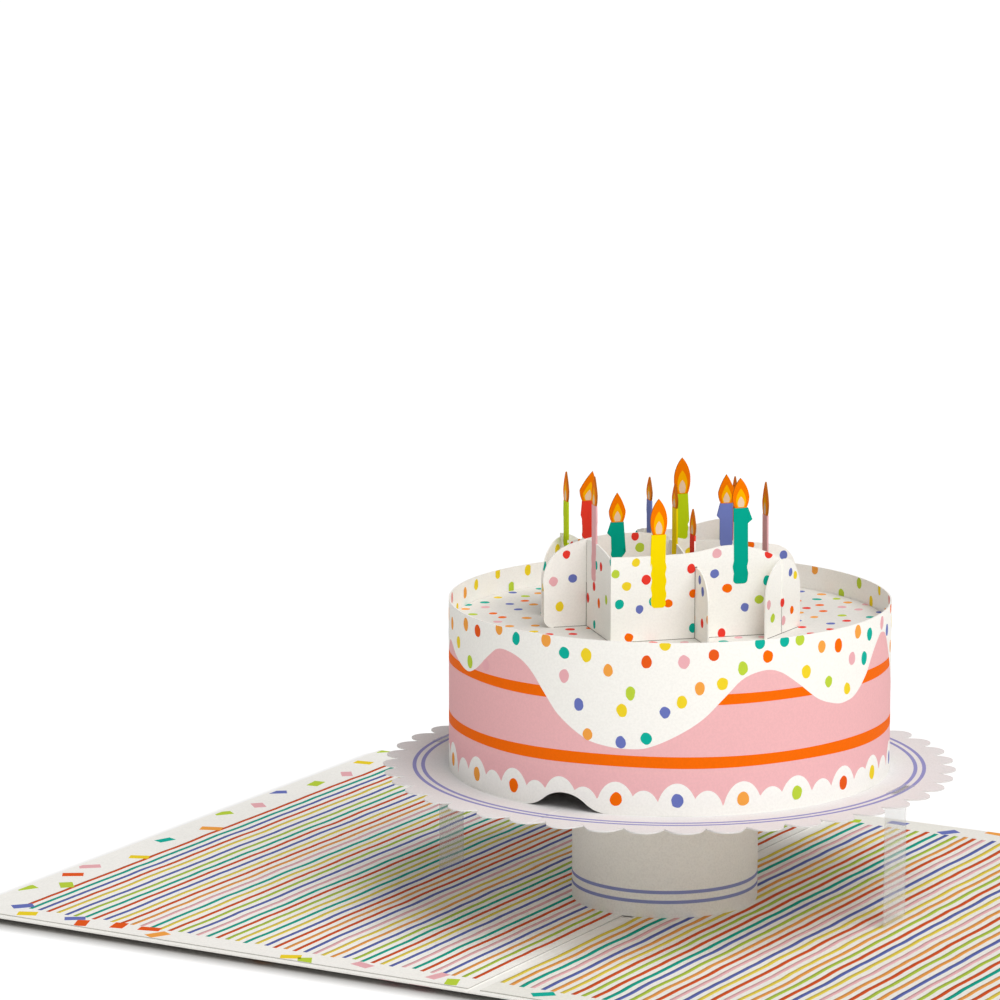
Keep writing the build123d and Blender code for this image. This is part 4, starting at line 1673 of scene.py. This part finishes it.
        def wave(stops: Sequence[Point], reach: float = half) -> Curve:
            """Height of an upper edge from a few of its points."""
            return smooth_between([(share * reach, crest + rise) for share, rise in stops])

        return [
            TierSheet(
                "tier_front_right", "tier_wall_front", "tier_front_print", front * half, right,
                front, -edge, edge + 0.6,
                wave([
                    (-1, -0.2), (-0.54, -0.35), (0, 0.05), (0.23, 0.85), (0.44, 1.15), (0.67, 0.4),
                    (0.83, -0.5), (1, -2.7),
                ]),
                (
                    Candle(
                        -0.443, 4.25, 7.8, 11.8, Ink.CANDLE_YELLOW, ((-1, 6.5, 0.25),), cheek=0.76,
                    ),
                    Candle(
                        0.53, 9.25, 6.5, 7.4, Ink.CANDLE_TEAL, ((1, 2.6, 1.0),), -0.1, cheek=0.7,
                    ),
                ),
                3,
                listed(
                    "-13.5 80.2 YELLOW  -1.1 78.2 RED  -11.2 76.3 RED  -18.1 77.9 LIME  "
                    "-15.6 75.1 YELLOW  -0.6 72.7 ORANGE  -17.2 71.2 TEAL  -12.7 69.9 BLUE  "
                    "-9.7 71.4 TEAL  -6.2 70.8 ORANGE  -0.6 65.1 TEAL  -15.1 63.8 ORANGE  "
                    "4.7 81.3 PINK  4.2 76.8 BLUE  7.1 73.5 ORANGE  16.2 74.7 TEAL  "
                    "14.4 70.6 LIME  11.1 69.1 BLUE  5.9 63.6 RED  12.5 62.4 ORANGE_RED  "
                    "16.5 80.6 RED"
                ),
                crossing=78.6,
            ),
            TierSheet(
                "tier_front_left", "tier_wall_front", "tier_front_print", right * -half, front,
                -right, -edge, edge,
                wave([(-1, -5.85), (-0.58, -2.15), (-0.17, -0.25), (0.26, 0.6), (1, -0.85)]),
                (
                    Candle(-0.885, 5.75, 6.6, 4.6, Ink.CANDLE_LIME, ((-1, 3.0, 0.2),)),
                    Candle(0.305, 8.85, 6.3, 7.9, Ink.CANDLE_PINK, ((1, 3.4, 0.2),)),
                ),
                5,
                listed(
                    "7.9 77.7 TEAL  11.5 78.1 RED  6.1 72.7 RED  1.4 69.2 RED  -1.5 67.9 LIME  "
                    "9.9 69.7 ORANGE  15.6 71.6 LIME  6.5 64.3 TEAL"
                ),
                crossing=81.3,
            ),
            TierSheet(
                "tier_back_left", "tier_wall_back", "tier_back_print", front * -half, right, front,
                -edge - 0.6, edge,
                wave([
                    (-1, -1.75), (-0.8, -3.6), (-0.1, -2.6), (0.51, -1.95), (0.75, -0.8), (1, -0.3),
                ]),
                (
                    Candle(-0.705, 5.15, 6.6, 3.4, Ink.CANDLE_RED, ((-1, 3.2, 0.3),), 1.1, 2.6),
                    Candle(
                        0.447, 5.75, 8.1, 4.6, Ink.CANDLE_LIME, ((1, 6.2, 0.35),), 0.0, 2.6, 0.78,
                    ),
                ),
                7,
                bare_above=76.4,
            ),
            TierSheet(
                "tier_back_right", "tier_wall_back", "tier_back_print", right * half, front, -right,
                -edge, edge,
                wave([(-1, -0.4), (-0.6, -1.5), (-0.1, -4.1), (0.5, -4.3), (1, -3.4)]),
                (
                    Candle(-0.69, 3.2, 6.95, 5.0, Ink.ORANGE, ((-1, 2.6, 0.3),)),
                    Candle(0.47, 5.45, 7.3, 6.2, Ink.CANDLE_PINK),
                ),
                9,
                bare_above=78.6,
            ),
            TierSheet(
                "tier_divider_front", "tier_divider_front", "divider_front_print",
                Vector((0, 0, 0)), right, front,
                -half - 9.8, half + 9.8,
                wave([
                    (-1, -10.5), (-0.955, -3.95), (-0.833, -1.05), (-0.608, 0.75), (-0.361, 1.25),
                    (-0.163, 0.95), (0.035, -0.25), (0.156, -1.0), (0.556, -1.85), (0.802, -2.85),
                    (0.944, -4.55), (1, -10.5),
                ], half + 9.8),
                (
                    Candle(
                        -0.64, 3.75, 6.5, 4.2, Ink.CANDLE_TEAL, ((-1, 2.4, 0.8), (1, 6.6, 0.5)),
                        0.0, 2.85,
                    ),
                    Candle(0.675, 6.75, 6.4, 3.0, Ink.CANDLE_BLUE, ((-1, 2.7, 0.7),), 0.0, 2.85),
                ),
                11,
                listed(
                    "-23.7 78.9 RED  -22.3 73.5 BLUE  -26.7 73.0 PINK  -25.2 67.4 YELLOW  "
                    "-27.9 77.3 LIME  -8.1 82.2 RED  -7.0 79.6 LIME  4.3 78.0 YELLOW  "
                    "18.4 78.9 ORANGE  0.8 73.2 TEAL  -4.6 70.4 PINK  5.6 68.6 RED  "
                    "10.4 73.6 BLUE  -11.8 72.6 ORANGE  -9.2 66.4 YELLOW  1.4 65.4 LIME  "
                    "13.2 67.2 PINK  15.8 72.4 TEAL  -15.4 68.0 BLUE  26.1 76.3 BLUE  "
                    "25.4 70.2 RED"
                ),
                foot_inset=2.2,
            ),
            TierSheet(
                "tier_divider_side", "tier_divider_side", "divider_side_print", Vector((0, 0, 0)),
                front, -right,
                -half - 9.35, half + 9.35,
                wave([
                    (-1, -10.5), (-0.966, -4.95), (-0.818, -2.65), (-0.628, -1.45), (-0.141, -1.0),
                    (0.071, -0.55), (0.229, -1.0), (0.511, -2.95), (0.674, -3.45), (0.751, -3.35),
                    (0.963, -6.55), (1, -10.5),
                ], half + 9.35),
                (
                    Candle(-0.84, 5.25, 5.2, 4.0, Ink.CANDLE_BLUE, ((-1, 2.5, 0.2),)),
                    Candle(0.18, 6.95, 5.3, 4.6, Ink.CANDLE_YELLOW),
                    Candle(0.88, 3.45, 5.6, 4.6, Ink.CANDLE_RED, ((-1, 3.0, 0.15),)),
                ),
                13,
                listed("22.4 76.3 BLUE  24.6 74.2 BLUE  24.3 67.2 RED"),
                foot_inset=2.2,
            ),
            *self.caps(),
        ]

    def caps(self) -> list[TierSheet]:
        """The two rounded sheets beyond the side corners."""
        made = []
        for side, name in ((1, "tier_cap_right"), (-1, "tier_cap_left")):
            low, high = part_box(name)
            centre = (low[1] + high[1]) / 2 / MM
            reach = (high[1] - low[1]) / 2 / MM
            top = high[2] / MM
            place = side * (2**0.5 * self.half + self.cap_fold)

            def dome(x: float, mid: float = centre, half: float = reach, top: float = top) -> float:
                """Height of the rounded top."""
                away = min(abs(x - mid) / half, 1.0)
                return top - half * (1 - math.sqrt(1 - away * away))

            made.append(
                TierSheet(
                    name, name, "cap_print", Vector((place, 0, 0)), Vector((0, 1, 0)),
                    Vector((1, 0, 0)), centre - reach, centre + reach, dome, (), 23 + side,
                    self.cap_dots if side > 0 else (), crease=side * self.cap_fold,
                    foot_inset=0.6,
                )
            )
        return made


@dataclass
class Liners:
    """Printed liners: hand drawn stripes along the fold and confetti in the bare margins.

    Each fleck of confetti near the reader is its place, its turn in degrees and its ink.
    """

    levels: Levels
    dots: DotTree
    pitch: float = 2.45
    left_width: float = 1.0
    right_width: float = 1.12
    front: float = -80.8
    back: float = 80.0
    first_left: float = -118.3
    first_right: float = 3.8
    wobble: float = 0.6
    lift: float = 0.008
    fleck_lift: float = 0.014
    fleck_size: Point = (4.0, 6.6)
    fleck_spacing: float = 10.5
    fleck_clear: float = 11.5
    margin: float = 1.6
    side_margin: float = 8.8
    end_gap: float = 0.9
    fold_margins: Point = (2.5, 4.0)
    tries: int = 3600
    left: tuple[Ink, ...] = inks(
        "RUST PINE DUSK RUST STRAW DUSK MOSS PINE RUST DUSK STRAW RUST AMBER ROSE PINE STRAW "
        "RUST MOSS DUSK ROSE PINE RUST MOSS STRAW PINE STRAW DUSK RUST AMBER RUST DUSK ROSE "
        "STRAW AMBER DUSK MOSS PINE RUST STRAW DUSK ROSE PINE RUST ROSE DUSK AMBER MOSS RUST"
    )
    right: tuple[Ink, ...] = inks(
        "STRAW AMBER PINE ROSE DUSK AMBER STRAW RUST MOSS RUST PINE DUSK MOSS AMBER RUST ROSE "
        "DUSK STRAW RUST ROSE STRAW AMBER MOSS RUST DUSK STRAW ROSE AMBER RUST MOSS AMBER DUSK "
        "ROSE MOSS RUST PINE AMBER RUST STRAW ROSE DUSK MOSS RUST PINE STRAW DUSK AMBER RUST"
    )
    fleck_inks: tuple[Ink, ...] = inks("ORANGE_RED TEAL BLUE YELLOW LIME LIGHT_ORANGE PINK")
    near: tuple[tuple[float, float, float, Ink], ...] = (
        (-124.1, -15.0, 70, Ink.TEAL), (-120.8, -0.5, 20, Ink.LIGHT_ORANGE),
        (-125.4, -43.8, 40, Ink.PINK), (-124.6, -51.7, 32, Ink.ORANGE_RED),
        (-120.6, -60.0, 130, Ink.LIME), (-127.0, -66.6, 60, Ink.LIME),
        (-118.5, -79.8, 48, Ink.BLUE), (-114.0, -84.5, 24, Ink.YELLOW),
        (-102.6, -82.7, 34, Ink.BLUE), (-99.2, -85.1, 112, Ink.ORANGE_RED),
        (-91.0, -82.7, 103, Ink.ORANGE_RED), (-83.6, -81.8, 14, Ink.ORANGE_RED),
        (-79.6, -84.7, 62, Ink.LIGHT_ORANGE), (-58.6, -87.4, 20, Ink.ORANGE_RED),
        (-45.2, -85.4, 26, Ink.YELLOW), (-41.0, -86.6, 120, Ink.LIME), (-10.5, -82.7, 75, Ink.PINK),
        (-5.6, -85.2, 110, Ink.LIME),
    )

    def stripes(self, tree: StripeTree, side: str, first: float, width: float) -> None:
        """Print the stripes of one liner.

        Args:
            tree: What turns lines into ribbons.
            side: "left" or "right".
            first: Place of the first stripe.
            width: Width of a stripe.
        """
        name = f"liner_{side}_stripes"
        rng = random.Random(name)
        carried = self.left if side == "left" else self.right
        points, edges = [], []
        height = self.levels.liner_top + self.lift
        for index in range(len(carried)):
            x = first + index * self.pitch
            ends = (self.front + rng.uniform(-0.5, 0.5), self.back + rng.uniform(-0.5, 0.5))
            points.extend(Vector((x + rng.uniform(-0.08, 0.08), y, height)) * MM for y in ends)
            edges.append((2 * index, 2 * index + 1))
        mesh = tree.loose(name, points, edges, [ink for ink in carried for _ in range(2)])
        sizes = {"Wobble": self.wobble * 2 * MM, "Width": width * MM}
        tree.grow(mesh, sizes, name, f"liner_{side}_print")

    def flecks(self, side: str, seed: int) -> None:
        """Scatter confetti in one liner's bare margins.

        Args:
            side: "left" or "right".
            seed: Seed of the scatter.
        """
        rng = random.Random(seed)
        deck = InkDeck(rng, self.fleck_inks)
        outer = 1 if side == "right" else -1
        edge = self.levels.panel_half - self.margin
        low, high = (self.fold_margins[1], edge) if outer > 0 else (-edge, -self.fold_margins[0])
        reach = self.levels.length_half - self.margin

        def allowed(x: float, y: float) -> bool:
            """True in the margins."""
            beside = abs(x) > self.levels.panel_half - self.side_margin
            beyond = y < self.front - self.end_gap or y > self.back + self.end_gap
            clear = all(math.dist((x, y), spot[:2]) > self.fleck_clear for spot in self.near)
            return (beside or beyond) and clear

        corners = (low, -reach), (high, reach)
        places = spread_out(rng, *corners, self.fleck_spacing, allowed, self.tries)
        spots = [(x, y, rng.uniform(0, 180), deck.deal()) for x, y in places]
        spots += [spot for spot in self.near if spot[0] * outer > 0]
        dots = []
        for x, y, degrees, ink in spots:
            turn = math.radians(degrees)
            place = Vector((x, y, self.levels.liner_top + self.fleck_lift)) * MM
            upward = Vector((math.cos(turn), math.sin(turn), 0))
            width, tall = (size * rng.uniform(0.9, 1.1) for size in self.fleck_size)
            dots.append(Dot(place, UP, upward, ink, width, tall, f"liner_{side}"))
        self.dots.piece(f"liner_{side}_confetti", dots, f"liner_{side}_print", fleck=True)

    def build(self) -> None:
        """Print both liners."""
        tree = StripeTree(inks("RUST PINE DUSK STRAW MOSS AMBER ROSE"))
        self.stripes(tree, "left", self.first_left, self.left_width)
        self.stripes(tree, "right", self.first_right, self.right_width)
        self.flecks("left", 29)
        self.flecks("right", 31)


@dataclass
class Papers:
    """Paper or film of every packed sheet."""

    white: tuple[int, int, int] = (255, 253, 247)
    # The right liner's paper is a little darker than the left one: painted shade, as that side of
    # the card falls darker in the light.
    right_liner: tuple[int, int, int] = (246, 244, 236)
    disc: tuple[int, int, int] = (236, 233, 227)
    plate: tuple[int, int, int] = (233, 231, 230)
    stem: tuple[int, int, int] = (251, 250, 244)

    def build(self) -> None:
        """Give each packed sheet its finish."""
        card = Card("white_card", self.white)
        film = ClearFilm("clear_film_finish")
        special = {
            "card_cover": CoverCard("cover_card_finish", self.white),
            "liner_left": LinerPaper("liner_left_paper", self.white, 0.03),
            "liner_right": LinerPaper("liner_right_paper", self.right_liner, 0.03),
            "plate": Card("plate_card", self.plate, 0.03),
            "drum_top": Card("disc_card", self.disc, 0.03),
            "stem_wall": Card("stem_card", self.stem, 0.035),
            "plate_strut_left": film,
            "plate_strut_right": film,
        }
        for name, node in frame["nodes"].items():
            finish = special.get(name, card)
            node.data.materials.clear()
            node.data.materials.append(finish.material())
            LOG.info("%s wears %s", name, finish.name)


@dataclass
class Studio:
    """Pale table, soft light from the right and above, and the camera."""

    levels: Levels
    camera_place: tuple[float, float, float] = (516.645, -971.011, 292.512)
    camera_yaw: float = -0.522961
    camera_pitch: float = 0.18233
    focal_pixels: float = 5099.8
    image_pixels: float = 1000.0
    sensor: float = 36.0
    clip: Point = (0.05, 30.0)
    table_drop: float = 1.3
    table_reach: float = 24.0
    lamp_spread: float = 52.0
    sky_strength: float = 0.32

    def floor(self) -> None:
        """Wide pale table under the card."""
        solid = bmesh.new()
        bmesh.ops.create_grid(solid, x_segments=1, y_segments=1, size=self.table_reach)
        mesh = bpy.data.meshes.new("table")
        solid.to_mesh(mesh)
        solid.free()
        for vertex in mesh.vertices:
            vertex.co.z = self.table_drop * -MM
        table = bpy.data.objects.new("table", mesh)
        bpy.context.scene.collection.objects.link(table)
        finish = TableTop("table_top", self.levels.panel_half, self.levels.length_half)
        mesh.materials.append(finish.material())

    def lamp(self, name: str, strength: float, azimuth: float, elevation: float) -> None:
        """Broad soft light from far away.

        Args:
            name: Its name.
            strength: Its strength in watts per square metre.
            azimuth: Where it stands in plan, in degrees from +X.
            elevation: How high it stands, in degrees.
        """
        data = bpy.data.lights.new(name, "SUN")
        data.energy = strength
        data.angle = math.radians(self.lamp_spread)
        lamp = bpy.data.objects.new(name, data)
        round_it, up = math.radians(azimuth), math.radians(elevation)
        flat = math.cos(up)
        toward = Vector((math.cos(round_it) * flat, math.sin(round_it) * flat, math.sin(up)))
        lamp.rotation_euler = toward.to_track_quat("Z", "Y").to_euler()
        bpy.context.scene.collection.objects.link(lamp)

    def sky(self) -> None:
        """Even white surroundings."""
        world = bpy.data.worlds.new("studio")
        bpy.context.scene.world = world
        world.use_nodes = True
        graph = Graph(world.node_tree)
        colour = (1.0, 1.0, 1.0, 1.0)
        sockets = {"Color": colour, "Strength": self.sky_strength}
        glow = graph.node("ShaderNodeBackground", sockets)
        graph.node("ShaderNodeOutputWorld", {"Surface": glow})

    def camera(self) -> None:
        """Camera at the photograph's place and angle."""
        data = bpy.data.cameras.new("view")
        data.sensor_width = self.sensor
        data.sensor_fit = "HORIZONTAL"
        data.lens = self.focal_pixels / self.image_pixels * self.sensor
        data.clip_start, data.clip_end = self.clip
        camera = bpy.data.objects.new("view", data)
        camera.location = Vector(self.camera_place) * MM
        camera.rotation_euler = (math.pi / 2 - self.camera_pitch, 0.0, -self.camera_yaw)
        bpy.context.scene.collection.objects.link(camera)
        bpy.context.scene.camera = camera

    def build(self) -> None:
        """Set up the studio."""
        scene = bpy.context.scene
        scene.view_settings.view_transform = "Standard"
        self.floor()
        self.sky()
        self.lamp("window", 2.02, -20.0, 56.5)
        self.lamp("fill", 0.36, -43.0, 9.0)
        self.camera()


def main() -> None:
    """Dress the card, light it and set up the camera."""
    logging.basicConfig(level=logging.INFO, format="%(name)s: %(message)s")
    levels = Levels.from_frame()
    LOG.info("levels %s", levels)
    dots = DotTree((*DOT_INKS, Ink.ORANGE_RED))
    Papers().build()
    Liners(levels, dots).build()
    Stand(levels).build()
    Drum(levels, dots).build()
    Top(levels, dots).build()
    Tier(levels, dots).build()
    Studio(levels).build()


if __name__ == "__main__":
    main()
